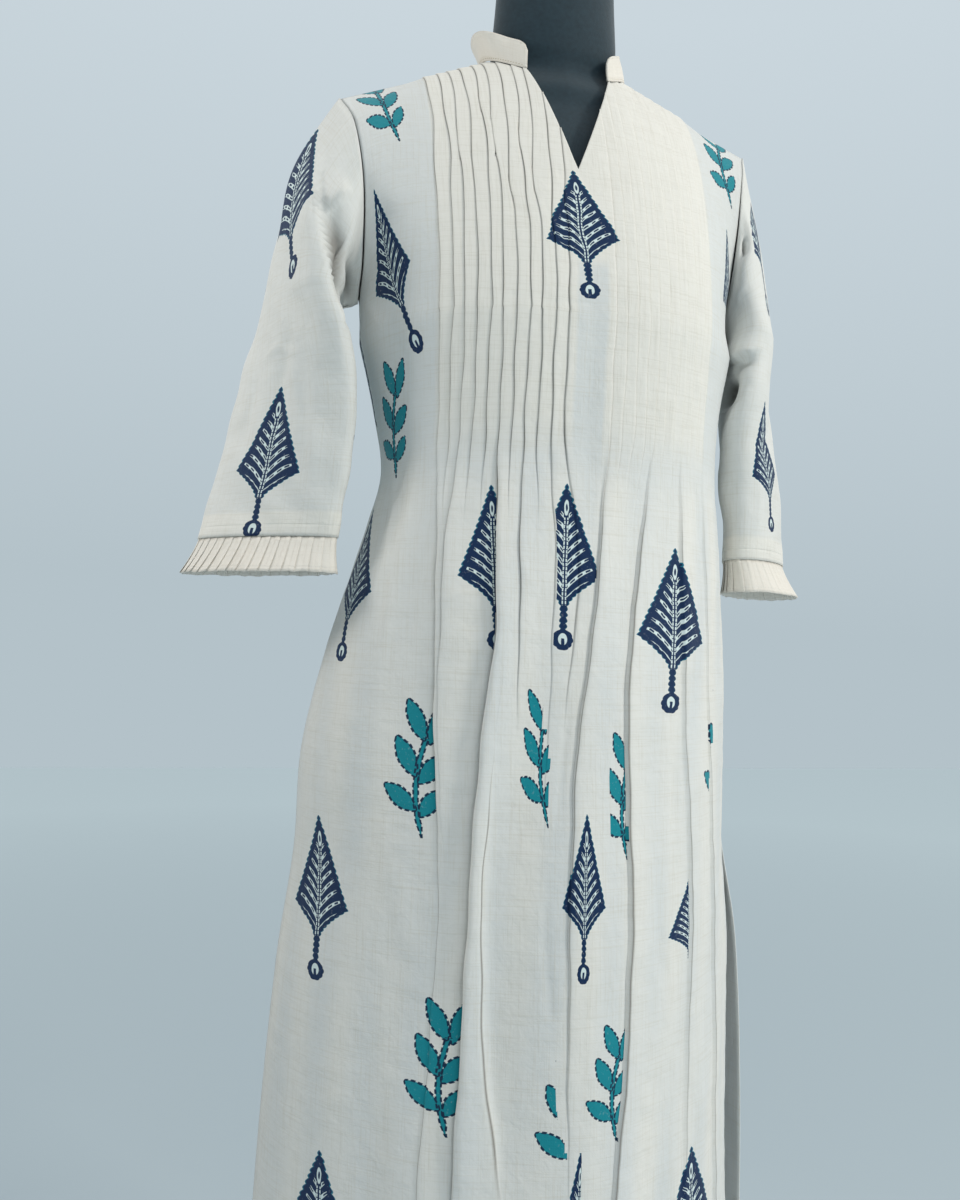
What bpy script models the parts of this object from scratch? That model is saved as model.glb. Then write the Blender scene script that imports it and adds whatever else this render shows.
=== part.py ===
"""A kurta tunic with pin tucks, standing collar and pleated cuff frills, on a limbless dress form.

Frame: metres, +Z up, the floor at z = 0, the front towards -Y and the wearer's left towards +X.
The origin is the middle of the stand's underside, straight below the neck.
Every cloth piece is a wall built from a grid of points: rows run from the hem up, columns go round.
"""

import math

import bmesh
import bpy
from mathutils import Vector

# Heights above the floor
NECK_POINT = 1.370
KURTA_LENGTH = 1.150
HEM = NECK_POINT - KURTA_LENGTH
SLIT_TOP = 0.700
RELEASE = 1.020
BUST = 1.115
V_BOTTOM = 1.236
COLLAR_FRONT_SEAM = 1.347
BACK_NECK = 1.353

# Widths across, from the centre line
NECK_HALF = 0.067
COLLAR_FRONT_HALF = 0.036
SHOULDER_HALF = 0.188
SHOULDER_DROP = 0.048
SHOULDER_LINE_Y = 0.004

# Cloth
CLOTH = 0.0018
SEAM_GAP = 0.0003
CHEST_ROUNDNESS = 1.6
SLIT_GAPE = 0.006

# Pin tucks: fold edges lie outwards, away from the centre strip
TUCKS_A_SIDE = 11
CENTRE_STRIP_HALF = 0.0085
TUCK_PITCH = 0.0099
TUCK_LIFT = 0.0012
TUCK_EDGE = 0.0006
FOLD_EDGE = 0.0016
SIDE_COLUMNS = 5

# Sections of the worn bodice and skirt at the inside of the cloth, from the hem up.
# The skirt hangs a little towards the wearer's right, and its back flares wider at the left slit.
FRONT_SECTIONS = (
    # height, half_width_right, half_width_left, depth, squareness
    (0.220, 0.226, 0.176, 0.166, 1.65),
    (0.450, 0.218, 0.176, 0.160, 1.65),
    (0.600, 0.208, 0.174, 0.155, 1.65),
    (0.690, 0.198, 0.169, 0.150, 1.70),
    (0.770, 0.198, 0.167, 0.143, 1.75),
    (0.850, 0.183, 0.164, 0.136, 1.85),
    (0.900, 0.168, 0.161, 0.130, 1.95),
    (0.960, 0.150, 0.155, 0.122, 2.05),
    (1.005, 0.141, 0.151, 0.118, 2.10),
    (1.060, 0.150, 0.153, 0.121, 2.10),
    (1.115, 0.163, 0.163, 0.124, 2.10),
)
BACK_SECTIONS = (
    # height, half_width_right, half_width_left, depth, squareness
    (0.220, 0.224, 0.206, 0.150, 1.65),
    (0.450, 0.216, 0.203, 0.146, 1.65),
    (0.600, 0.207, 0.194, 0.142, 1.65),
    (0.690, 0.198, 0.177, 0.140, 1.70),
    (0.770, 0.198, 0.167, 0.137, 1.75),
    (0.850, 0.183, 0.164, 0.128, 1.85),
    (0.900, 0.168, 0.161, 0.120, 1.95),
    (0.960, 0.150, 0.155, 0.110, 2.05),
    (1.005, 0.141, 0.151, 0.106, 2.10),
    (1.060, 0.150, 0.153, 0.108, 2.10),
    (1.115, 0.163, 0.163, 0.112, 2.10),
)
BODY_ROWS = (
    0.220, 0.300, 0.380, 0.460, 0.540, 0.620, 0.700, 0.770,
    0.840, 0.900, 0.950, 0.990, 1.020, 1.050, 1.080, 1.115,
)
UPPER_ROWS = (0.12, 0.20, 0.30, 0.40, 0.50, 0.60, 0.70, 0.80, 0.90, 1.00)

# Armhole edge of each panel, from the bust line past the underarm to the shoulder point
ARMHOLE_FRONT = (
    # share, x, y, z
    (0.00, 0.1630, 0.000, 1.115),
    (0.12, 0.1650, 0.000, 1.146),
    (0.30, 0.1660, -0.030, 1.176),
    (0.55, 0.1700, -0.044, 1.232),
    (0.80, 0.1780, -0.029, 1.287),
    (1.00, 0.1880, 0.004, 1.322),
)
ARMHOLE_BACK = (
    # share, x, y, z
    (0.00, 0.1630, 0.000, 1.115),
    (0.12, 0.1650, 0.000, 1.146),
    (0.30, 0.1680, 0.036, 1.176),
    (0.55, 0.1730, 0.052, 1.232),
    (0.80, 0.1800, 0.036, 1.287),
    (1.00, 0.1880, 0.004, 1.322),
)

# Released tucks: where each main fold edge runs, as a place across the front at each fold level below
# the release line, and how far the cloth on its left-hand side of the wearer stands out there
FOLD_LEVELS = (0.930, 0.860, 0.790, 0.680, 0.560, 0.450, 0.220)
FRONT_FOLDS = (
    # tuck, then the places, then the lifts in millimetres
    (-11, (-0.1150, -0.1165, -0.1185, -0.1140, -0.1170, -0.1210, -0.1290), (3, 3, 3, 1, 1, 1, 0)),
    (-9, (-0.1030, -0.1040, -0.1050, -0.1020, -0.1040, -0.1070, -0.1120), (3, 2, 1, 0, 0, 0, 0)),
    (-6, (-0.0690, -0.0718, -0.0795, -0.0862, -0.0765, -0.0620, -0.0540), (6, 8, 9, 10, 8, 3, 1)),
    (-4, (-0.0512, -0.0520, -0.0540, -0.0560, -0.0520, -0.0440, -0.0380), (2, 1, 0, 0, 0, 0, 0)),
    (-1, (-0.0070, -0.0120, -0.0200, -0.0260, -0.0260, -0.0220, -0.0200), (1, 1, 0, 0, 0, 0, 0)),
    (1, (0.0085, 0.0005, -0.0095, -0.0150, -0.0150, -0.0130, -0.0110), (4, 5, 4, 2, 1, 0, 0)),
    (5, (0.0428, 0.0320, 0.0290, 0.0325, 0.0290, 0.0185, 0.0120), (5, 7, 8, 8, 7, 6, 4)),
    (8, (0.0860, 0.0850, 0.0860, 0.0900, 0.0920, 0.0920, 0.0930), (2, 2, 1, 1, 1, 1, 1)),
    (11, (0.1210, 0.1260, 0.1320, 0.1400, 0.1440, 0.1480, 0.1520), (1, 1, 1, 2, 2, 2, 2)),
)
FOLD_REACH = 0.024
BACK_FOLDS = (
    # across at the waist and at the hem, width, lift at the hem
    (-0.110, -0.150, 0.034, 0.007),
    (-0.038, -0.060, 0.030, 0.009),
    (0.034, 0.048, 0.036, 0.008),
    (0.100, 0.142, 0.032, 0.007),
)
BACK_COLUMNS = (0.0, 0.020, 0.042, 0.064, 0.086, 0.108, 0.130)

# Sleeves: sections from under the arm to the cuff seam. Each hangs flat, and turns forwards on its way down.
SLEEVE_RIGHT = (
    # height, centre_x, centre_y, half_long, half_short, turn
    (1.140, -0.211, 0.004, 0.074, 0.022, 76),
    (1.100, -0.212, 0.003, 0.076, 0.022, 64),
    (1.050, -0.217, 0.002, 0.075, 0.021, 53),
    (1.000, -0.227, 0.001, 0.072, 0.019, 46),
    (0.941, -0.237, 0.000, 0.068, 0.018, 38),
)
SLEEVE_LEFT = (
    # height, centre_x, centre_y, half_long, half_short, turn
    (1.140, 0.206, 0.006, 0.074, 0.022, 72),
    (1.100, 0.205, 0.008, 0.076, 0.022, 64),
    (1.050, 0.208, 0.010, 0.075, 0.022, 58),
    (1.000, 0.211, 0.012, 0.070, 0.023, 55),
    (0.941, 0.213, 0.014, 0.064, 0.024, 52),
)
SLEEVE_CAP_RINGS = 5
SLEEVE_CAP_SWELL = 0.009
SLEEVE_RINGS = 8

# Cuff frills
FRILL_PLEATS = 32
FRILL_LENGTH = 0.029
FRILL_FLARE = 0.008
FRILL_SWAY = 0.007
FRILL_LIFT_TOP = 0.0005
FRILL_LIFT_HEM = 0.0022
FRILL_WALL = 0.0012
FRILL_EDGE_SHARE = 0.12

# Collar
COLLAR_HEIGHT = 0.023
COLLAR_LEAN = 0.002
COLLAR_WALL = 0.0018
COLLAR_CORNER = 0.010

# Dress form and stand
FORM_SECTIONS = (
    # height, half_width, front_depth, back_depth, squareness
    (0.700, 0.1280, 0.0840, 0.0860, 2.10),
    (0.712, 0.1440, 0.0950, 0.0970, 2.10),
    (0.790, 0.1500, 0.1040, 0.1060, 2.10),
    (0.880, 0.1370, 0.0960, 0.0940, 2.10),
    (0.970, 0.1200, 0.0880, 0.0800, 2.10),
    (1.050, 0.1340, 0.1030, 0.0890, 2.10),
    (1.115, 0.1480, 0.1140, 0.1000, 2.15),
    (1.180, 0.1490, 0.1050, 0.0950, 2.15),
    (1.235, 0.1490, 0.0880, 0.0860, 2.05),
    (1.280, 0.1550, 0.0700, 0.0710, 1.85),
    (1.306, 0.1600, 0.0570, 0.0600, 1.65),
    (1.322, 0.1560, 0.0500, 0.0540, 1.52),
    (1.336, 0.1340, 0.0480, 0.0500, 1.45),
    (1.350, 0.0980, 0.0400, 0.0420, 1.45),
    (1.362, 0.0685, 0.0350, 0.0370, 1.60),
    (1.374, 0.0590, 0.0385, 0.0385, 1.90),
    (1.388, 0.0570, 0.0400, 0.0400, 2.00),
    (1.400, 0.0565, 0.0410, 0.0410, 2.00),
    (1.430, 0.0545, 0.0410, 0.0410, 2.00),
    (1.470, 0.0525, 0.0410, 0.0410, 2.00),
)
FORM_POINTS = 32
CAP_THICK = 0.010
CAP_HALF_X = 0.0510
CAP_HALF_Y = 0.0402
POLE_RADIUS = 0.0125
BASE_RADIUS = 0.165
BASE_THICK = 0.012
BASE_HUB_RADIUS = 0.026
BASE_HUB_HEIGHT = 0.040
ROUND_SIDES = 32

MATERIALS = {
    # name: colour, roughness, metallic
    "printed_cotton": ((0.80, 0.77, 0.70), 0.85, 0.0),
    "plain_cotton": ((0.84, 0.79, 0.69), 0.85, 0.0),
    "form_jersey": ((0.03, 0.04, 0.05), 0.80, 0.0),
    "cap_plastic": ((0.05, 0.05, 0.05), 0.45, 0.0),
    "stand_steel": ((0.06, 0.06, 0.06), 0.35, 0.8),
}


def lerp(a, b, share):
    return a + (b - a) * share


def smooth_value(rows, key, column):
    """One column of a table at a key in its first column, on a smooth curve through the rows."""
    last = len(rows) - 1
    k = max(0, min(last - 1, sum(key >= row[0] for row in rows) - 1))
    before, low, high, after = (rows[max(0, min(last, j))] for j in (k - 1, k, k + 1, k + 2))
    span = high[0] - low[0]
    share = max(0.0, min(1.0, (key - low[0]) / span))
    in_slope = (high[column] - before[column]) / max(high[0] - before[0], 1e-9) * span
    out_slope = (after[column] - low[column]) / max(after[0] - low[0], 1e-9) * span
    s2, s3 = share * share, share ** 3
    return (
        (2 * s3 - 3 * s2 + 1) * low[column]
        + (s3 - 2 * s2 + share) * in_slope
        + (3 * s2 - 2 * s3) * high[column]
        + (s3 - s2) * out_slope
    )


class Quarter:
    """A quarter of one body section, from the centre line to the side seam, measured along its length."""

    STEPS = 48

    def __init__(self, half_width, depth, squareness):
        power = 2 / squareness
        angles = [math.pi / 2 * k / self.STEPS for k in range(self.STEPS + 1)]
        self.points = [
            (half_width * math.sin(a) ** power, depth * math.cos(a) ** power) for a in angles
        ]
        self.lengths = [0.0]
        for p, q in zip(self.points, self.points[1:]):
            self.lengths.append(self.lengths[-1] + math.dist(p, q))
        self.length = self.lengths[-1]

    def at(self, distance):
        """(across, out) at a distance from the centre line."""
        for k in range(self.STEPS):
            if distance <= self.lengths[k + 1] or k == self.STEPS - 1:
                share = (distance - self.lengths[k]) / (self.lengths[k + 1] - self.lengths[k])
                p, q = self.points[k], self.points[k + 1]
                return lerp(p[0], q[0], share), lerp(p[1], q[1], share)
        return self.points[-1]


def body_quarter(z, facing, hand):
    rows = FRONT_SECTIONS if facing < 0 else BACK_SECTIONS
    width_column = 1 if hand < 0 else 2
    return Quarter(*(smooth_value(rows, z, column) for column in (width_column, 3, 4)))


def tuck_place(tuck):
    """Distance of a tuck's fold edge from the centre line."""
    return CENTRE_STRIP_HALF + TUCK_PITCH * abs(tuck)


def fold_place(tuck, z):
    """Signed place across the front of a tuck's fold edge below the release line."""
    tucks = [row[0] for row in FRONT_FOLDS]
    after = next(k for k, t in enumerate(tucks) if t >= tuck)
    before = after if tucks[after] == tuck else after - 1
    share = 0.0 if before == after else (tuck - tucks[before]) / (tucks[after] - tucks[before])
    across = [lerp(a, b, share) for a, b in zip(FRONT_FOLDS[before][1], FRONT_FOLDS[after][1])]
    levels = (*reversed(FOLD_LEVELS), RELEASE)
    path = list(zip(levels, (*reversed(across), math.copysign(tuck_place(tuck), tuck))))
    return smooth_value(path, z, 1)


def fold_lift(place, z):
    """How far the front stands out here: each fold steps up at its edge and eases back beyond it."""
    if z >= RELEASE:
        return 0.0
    levels = (*reversed(FOLD_LEVELS), RELEASE)
    lift = 0.0
    for tuck, _, heights in FRONT_FOLDS:
        beyond = place - fold_place(tuck, z)
        if beyond >= 0:
            height = smooth_value(list(zip(levels, (*reversed(heights), 0))), z, 1) / 1000
            lift += max(0.0, height) * math.exp(-((beyond / FOLD_REACH) ** 1.5))
    return lift


def slit_gape(z):
    """How far a panel's side edge stands back from the side seam below the slit."""
    share = (SLIT_TOP - z) / (SLIT_TOP - HEM)
    return SLIT_GAPE * max(0.0, share) ** 0.7


def shoulder_height(x):
    return NECK_POINT - SHOULDER_DROP * (abs(x) - NECK_HALF) / (SHOULDER_HALF - NECK_HALF)


def neckline_height(x, facing):
    """Where a panel's top edge lies: the V and the collar seam at the front, a shallow scoop at the back."""
    x = abs(x)
    if x >= NECK_HALF:
        return shoulder_height(x)
    if facing > 0:
        return lerp(BACK_NECK, NECK_POINT, (x / NECK_HALF) ** 2)
    if x <= COLLAR_FRONT_HALF:
        return lerp(V_BOTTOM, COLLAR_FRONT_SEAM, x / COLLAR_FRONT_HALF)
    share = (x - COLLAR_FRONT_HALF) / (NECK_HALF - COLLAR_FRONT_HALF)
    return lerp(COLLAR_FRONT_SEAM, NECK_POINT, share ** 1.3)


def chest_point(distance, turn, facing, quarter):
    """A point of the bodice above the bust line: turn goes from 0 at the bust to 1 on the shoulder line."""
    across, out = quarter.at(distance)
    angle = turn * math.pi / 2
    power = 2 / CHEST_ROUNDNESS
    rise, run = math.sin(angle) ** power, max(0.0, math.cos(angle)) ** power
    return Vector((
        lerp(across, distance, rise),
        lerp(SHOULDER_LINE_Y, facing * out, run),
        lerp(BUST, shoulder_height(distance), rise),
    ))


def top_turn(distance, facing, quarter):
    """The turn at which a column meets the neckline or the shoulder seam."""
    if distance >= NECK_HALF:
        return 1.0
    low, high = 0.0, 1.0
    for _ in range(30):
        middle = (low + high) / 2
        point = chest_point(distance, middle, facing, quarter)
        low, high = (middle, high) if point.z < neckline_height(point.x, facing) else (low, middle)
    return low


def armhole_point(share, facing):
    rows = ARMHOLE_FRONT if facing < 0 else ARMHOLE_BACK
    return Vector(smooth_value(rows, share, column) for column in (1, 2, 3))


class Column:
    """One column of a body panel: where it lies across, and how far it stands out of the plain wall."""

    def __init__(self, facing, hand, distance=None, side_share=None, tuck=0, is_outer=False):
        self.facing, self.hand, self.distance = facing, hand, distance
        self.side_share, self.tuck, self.is_outer = side_share, tuck, is_outer

    def last_inner(self):
        return tuck_place(TUCKS_A_SIDE) if self.facing < 0 else BACK_COLUMNS[-1]

    def below(self, z):
        """Signed place across the panel at a height up to the bust line."""
        reach = body_quarter(z, self.facing, self.hand).length - slit_gape(z)
        if self.facing > 0:
            spread = reach / body_quarter(BUST, 1, self.hand).length if z < RELEASE else 1.0
            inner = self.last_inner() * spread
            if self.side_share is None:
                return self.hand * self.distance * spread
            return self.hand * lerp(inner, reach, self.side_share)
        if self.side_share is not None:
            inner = tuck_place(TUCKS_A_SIDE)
            if z < RELEASE:
                inner = abs(fold_place(self.hand * TUCKS_A_SIDE, z))
            return self.hand * lerp(inner, reach, self.side_share)
        if not self.tuck:
            return 0.0 if z >= RELEASE else (fold_place(-1, z) + fold_place(1, z)) / 2
        if z >= RELEASE:
            edge = TUCK_EDGE * (1 if self.is_outer else -1)
            return self.hand * (tuck_place(self.tuck) + edge)
        half_edge = lerp(TUCK_EDGE, FOLD_EDGE, min(1.0, (RELEASE - z) / 0.05))
        is_beyond = self.is_outer == (self.hand > 0)
        return fold_place(self.tuck, z) + (half_edge if is_beyond else -half_edge)

    def tuck_relief(self, z, turn_share=0.0):
        """Height of the stitched tuck above the plain cloth at this column."""
        if not self.tuck or self.is_outer:
            return 0.0
        fade = 1.0 if z >= RELEASE else max(0.0, 1 - (RELEASE - z) / 0.06)
        return TUCK_LIFT * fade * (1 - 0.4 * turn_share)


def front_columns():
    columns = []
    for hand in (-1, 1):
        half = [Column(-1, hand, side_share=k / SIDE_COLUMNS) for k in range(SIDE_COLUMNS, 0, -1)]
        for tuck in range(TUCKS_A_SIDE, 0, -1):
            distance = tuck_place(tuck)
            half.append(Column(-1, hand, distance + TUCK_EDGE, tuck=hand * tuck, is_outer=True))
            half.append(Column(-1, hand, distance - TUCK_EDGE, tuck=hand * tuck))
        if hand < 0:
            columns += half + [Column(-1, 1, 0.0)]
        else:
            columns += reversed(half)
    return columns


def back_columns():
    columns = []
    for hand in (-1, 1):
        half = [Column(1, hand, side_share=k / 3) for k in (3, 2, 1)]
        half += [Column(1, hand, distance) for distance in reversed(BACK_COLUMNS[1:])]
        if hand < 0:
            columns += half + [Column(1, 1, 0.0)]
        else:
            columns += reversed(half)
    return columns


def back_fold_lift(place, z):
    """Soft folds that hang from the waist of the back."""
    share = max(0.0, (RELEASE - z) / (RELEASE - HEM))
    lift = 0.0
    for waist, hem, width, height in BACK_FOLDS:
        offset = (place - lerp(waist, hem, share)) / width
        lift += height * share ** 0.6 * math.exp(-offset * offset)
    return lift


def side_point(column, share, quarter):
    """A column between the outermost tuck and the armhole, above the bust line."""
    inner = chest_point(column.last_inner(), share, column.facing, quarter)
    edge = armhole_point(share, column.facing)
    straight = inner.lerp(edge, column.side_share)
    distance = lerp(column.last_inner(), quarter.length, column.side_share)
    across, out = quarter.at(distance)
    near, far = quarter.at(column.last_inner()), quarter.at(quarter.length)
    swell = Vector((
        across - lerp(near[0], far[0], column.side_share),
        column.facing * (out - lerp(near[1], far[1], column.side_share)),
        0,
    ))
    return straight + swell * (1 - share) ** 1.5


def panel_grid(columns):
    """Points on the plain inside of a body panel, their folds' lift and their tucks' relief, row by row."""
    facing = columns[0].facing
    bust = body_quarter(BUST, facing, 1)
    points, lifts, reliefs = [], [], []
    for z in BODY_ROWS:
        quarters = {hand: body_quarter(z, facing, hand) for hand in (-1, 1)}
        row, row_lifts = [], []
        for column in columns:
            place = column.below(z)
            hand = -1 if place < 0 else 1
            across, out = quarters[hand].at(abs(place))
            row.append(Vector((hand * across, facing * out, z)))
            row_lifts.append(back_fold_lift(place, z) if facing > 0 else fold_lift(place, z))
        points.append(row)
        lifts.append(row_lifts)
        reliefs.append([column.tuck_relief(z) for column in columns])
    for share in UPPER_ROWS:
        row = []
        for column in columns:
            if column.side_share is not None:
                point = side_point(column, share, bust)
            else:
                distance = abs(column.distance)
                point = chest_point(distance, share * top_turn(distance, facing, bust), facing, bust)
            row.append(Vector((column.hand * point.x, point.y, point.z)))
        points.append(row)
        lifts.append([0.0] * len(columns))
        reliefs.append([column.tuck_relief(BUST, share) for column in columns])
    return points, lifts, reliefs


def grid_normals(points, is_ring=False):
    """The outward normal at every point of a grid whose rows go up and whose columns go to the left hand."""
    normals = []
    rows, columns = len(points), len(points[0])
    for r in range(rows):
        up_row, down_row = points[min(r + 1, rows - 1)], points[max(r - 1, 0)]
        line = []
        for c in range(columns):
            right = points[r][(c + 1) % columns if is_ring else min(c + 1, columns - 1)]
            left = points[r][(c - 1) % columns if is_ring else max(c - 1, 0)]
            line.append((right - left).cross(up_row[c] - down_row[c]).normalized())
        normals.append(line)
    return normals


def smooth_normals(normals, passes):
    """Averages each normal with its neighbours along its row, which rounds the wall at closely set columns."""
    for _ in range(passes):
        normals = [
            [
                (row[max(c - 1, 0)] + row[c] * 2 + row[min(c + 1, len(row) - 1)]).normalized()
                for c in range(len(row))
            ]
            for row in normals
        ]
    return normals


def material(name):
    found = bpy.data.materials.get(name)
    if found:
        return found
    colour, roughness, metallic = MATERIALS[name]
    made = bpy.data.materials.new(name)
    made.use_nodes = True
    shader = made.node_tree.nodes["Principled BSDF"]
    shader.inputs["Base Color"].default_value = (*colour, 1.0)
    shader.inputs["Roughness"].default_value = roughness
    shader.inputs["Metallic"].default_value = metallic
    return made


def add_object(name, bm, material_name):
    mesh = bpy.data.meshes.new(name)
    bmesh.ops.recalc_face_normals(bm, faces=bm.faces)
    bm.to_mesh(mesh)
    bm.free()
    mesh.shade_smooth()
    mesh.set_sharp_from_angle(angle=math.radians(35))
    mesh.materials.append(material(material_name))
    obj = bpy.data.objects.new(name, mesh)
    bpy.context.scene.collection.objects.link(obj)
    return obj


def wall_object(name, outer, inner, material_name, is_ring=False):
    """A closed wall between two grids of points. A ring joins its last column to its first."""
    bm = bmesh.new()
    faces_of = []
    for grid in (outer, inner):
        faces_of.append([[bm.verts.new(point) for point in row] for row in grid])
    out, inn = faces_of
    rows, columns = len(outer), len(outer[0])
    steps = range(columns if is_ring else columns - 1)
    for c in steps:
        d = (c + 1) % columns
        for r in range(rows - 1):
            bm.faces.new((out[r][c], out[r][d], out[r + 1][d], out[r + 1][c]))
            bm.faces.new((inn[r][d], inn[r][c], inn[r + 1][c], inn[r + 1][d]))
        bm.faces.new((inn[0][c], inn[0][d], out[0][d], out[0][c]))
        bm.faces.new((out[-1][c], out[-1][d], inn[-1][d], inn[-1][c]))
    if not is_ring:
        for r in range(rows - 1):
            bm.faces.new((inn[r][0], out[r][0], out[r + 1][0], inn[r + 1][0]))
            bm.faces.new((out[r][-1], inn[r][-1], inn[r + 1][-1], out[r + 1][-1]))
    return add_object(name, bm, material_name)


def body_panel(name, columns):
    """Builds the front or back, and returns its outer and inner grids for the pieces sewn to it."""
    facing = columns[0].facing
    points, lifts, reliefs = panel_grid(columns)
    if facing > 0:
        points = [list(reversed(row)) for row in points]
        lifts = [list(reversed(row)) for row in lifts]
        reliefs = [list(reversed(row)) for row in reliefs]
    normals = smooth_normals(grid_normals(points), 2)
    shoulder_row, first_upper = len(points) - 1, len(BODY_ROWS)
    outer, inner = [], []
    for r, row in enumerate(points):
        outer_row, inner_row = [], []
        for c, point in enumerate(row):
            normal = normals[r][c].copy()
            is_side = c in (0, len(row) - 1)
            if is_side and r <= first_upper:
                normal = Vector((math.copysign(1, point.x), 0, 0))
            if r == shoulder_row and abs(point.x) > NECK_HALF:
                normal = Vector((math.copysign(SHOULDER_DROP, point.x), 0, SHOULDER_HALF - NECK_HALF))
                normal.normalize()
            seam = Vector((0, facing * SEAM_GAP / 2, 0))
            on_seam = (is_side and r <= first_upper) or (r == shoulder_row and abs(point.x) >= NECK_HALF)
            base = point + normal * lifts[r][c] + (seam if on_seam else Vector())
            inner_row.append(base)
            outer_row.append(base + normal * (CLOTH + reliefs[r][c]))
        outer.append(outer_row)
        inner.append(inner_row)
    wall_object(name, outer, inner, "printed_cotton")
    return outer, inner


def armhole_ring(front, back, hand):
    """The edge points of both panels round one armhole: from the shoulder down the front, up the back."""
    start = len(BODY_ROWS)
    front_column = 0 if hand < 0 else -1
    back_column = -1 if hand < 0 else 0
    down = [row[front_column] for row in reversed(front[start:])]
    up = [row[back_column] for row in back[start:]]
    return down + up[1:-1]


def oval_points(centre, half_long, half_short, turn, hand, shares):
    """Points round a sleeve's section at shares of its length, from its outer side past the front."""
    turn = math.radians(turn)
    front_axis = Vector((-hand * math.cos(turn), -math.sin(turn), 0)) * half_long
    outer_axis = Vector((hand * math.sin(turn), -math.cos(turn), 0)) * half_short
    steps = 360
    fine = []
    for k in range(steps + 1):
        angle = 2 * math.pi * k / steps
        fine.append(outer_axis * math.cos(angle) + front_axis * math.sin(angle))
    lengths = [0.0]
    for p, q in zip(fine, fine[1:]):
        lengths.append(lengths[-1] + (q - p).length)
    points, k = [], 0
    for share in shares:
        while k < steps - 1 and lengths[k + 1] < share * lengths[-1]:
            k += 1
        part_way = (share * lengths[-1] - lengths[k]) / (lengths[k + 1] - lengths[k])
        points.append(centre + fine[k].lerp(fine[k + 1], part_way))
    return points


def sleeve_section(table, z, hand, shares, sway=0.0, grow=0.0):
    x, y, half_long, half_short, turn = (smooth_value(table, z, column) for column in range(1, 6))
    centre = Vector((x + hand * sway, y, z))
    return oval_points(centre, half_long + grow, half_short + grow, turn, hand, shares)


def sleeve(name, table, hand, front, back):
    """A set-in sleeve: its first ring is the armhole's own edge, its last the cuff seam."""
    table = tuple(reversed(table))
    top_in, top_out = [], []
    for lower, upper in zip(armhole_ring(front[1], back[1], hand), armhole_ring(front[0], back[0], hand)):
        lift = (upper - lower).normalized()
        top_in.append(upper + lift * SEAM_GAP)
        top_out.append(upper + lift * (SEAM_GAP + CLOTH))
    count = len(top_out)
    shares = [k / count for k in range(count)]
    first_z, last_z = table[-1][0], table[0][0]
    rings = []
    for k in range(1, SLEEVE_CAP_RINGS):
        share = k / SLEEVE_CAP_RINGS
        ring = []
        ends = sleeve_section(table, first_z, hand, shares)
        for start, end, along in zip(top_in, ends, shares):
            outer = max(0.0, math.cos(2 * math.pi * along)) ** 0.7
            swell = SLEEVE_CAP_SWELL * math.sin(math.pi * share) * outer
            ring.append(start.lerp(end, share) + Vector((hand * swell, 0, swell * 0.8)))
        rings.append(ring)
    for k in range(SLEEVE_RINGS):
        z = lerp(first_z, last_z, k / (SLEEVE_RINGS - 1))
        rings.append(sleeve_section(table, z, hand, shares))
    grid = [top_in, *rings]
    if hand > 0:
        grid = [[ring[0], *reversed(ring[1:])] for ring in grid]
        top_out = [top_out[0], *reversed(top_out[1:])]
    grid.reverse()
    normals = grid_normals(grid, is_ring=True)
    centre_out = grid[0][0] - sum(grid[0], Vector()) / count
    sign = 1 if normals[0][0].dot(centre_out) > 0 else -1
    outer = [
        [point + normal * (sign * CLOTH) for point, normal in zip(ring, line)]
        for ring, line in zip(grid, normals)
    ]
    outer[-1] = top_out
    outer[0] = sleeve_section(table, last_z, hand, shares, grow=CLOTH)
    if hand > 0:
        outer[0] = [outer[0][0], *reversed(outer[0][1:])]
    wall_object(name, outer, grid, "printed_cotton", is_ring=True)


def cuff_frill(name, table, hand):
    """A knife-pleated frill below the cuff seam: each pleat climbs to its fold edge and drops back."""
    seam_z = table[-1][0]
    table = tuple(reversed(table))
    starts = [k / FRILL_PLEATS for k in range(FRILL_PLEATS)]
    shares = sorted(starts + [s + (1 - FRILL_EDGE_SHARE) / FRILL_PLEATS for s in starts])
    outer, inner = [], []
    for down in (1.0, 0.5, 0.0):
        sway, flare = FRILL_SWAY * down, FRILL_FLARE * down
        lift = lerp(FRILL_LIFT_TOP, FRILL_LIFT_HEM, down)
        drop = Vector((0, 0, -SEAM_GAP - FRILL_LENGTH * down))
        for rows, wall in ((inner, 0.0), (outer, FRILL_WALL)):
            low = sleeve_section(table, seam_z, hand, shares, sway, flare + wall)
            high = sleeve_section(table, seam_z, hand, shares, sway, flare + wall + lift)
            rows.append([(high if k % 2 else low)[k] + drop for k in range(len(shares))])
    if hand < 0:
        outer, inner = ([list(reversed(row)) for row in rows] for rows in (outer, inner))
    wall_object(name, outer, inner, "plain_cotton", is_ring=True)


def neckline_point(x, facing, quarter):
    """A point on the outside of the cloth where a panel ends at the collar."""
    turn = top_turn(x, facing, quarter)
    point = chest_point(x, turn, facing, quarter)
    along = chest_point(x + 0.002, turn, facing, quarter) - chest_point(x - 0.002, turn, facing, quarter)
    up = point - chest_point(x, turn - 0.02, facing, quarter)
    normal = along.cross(up).normalized() * (1 if facing < 0 else -1)
    return point + normal * (CLOTH + TUCK_LIFT / 2)


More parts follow.
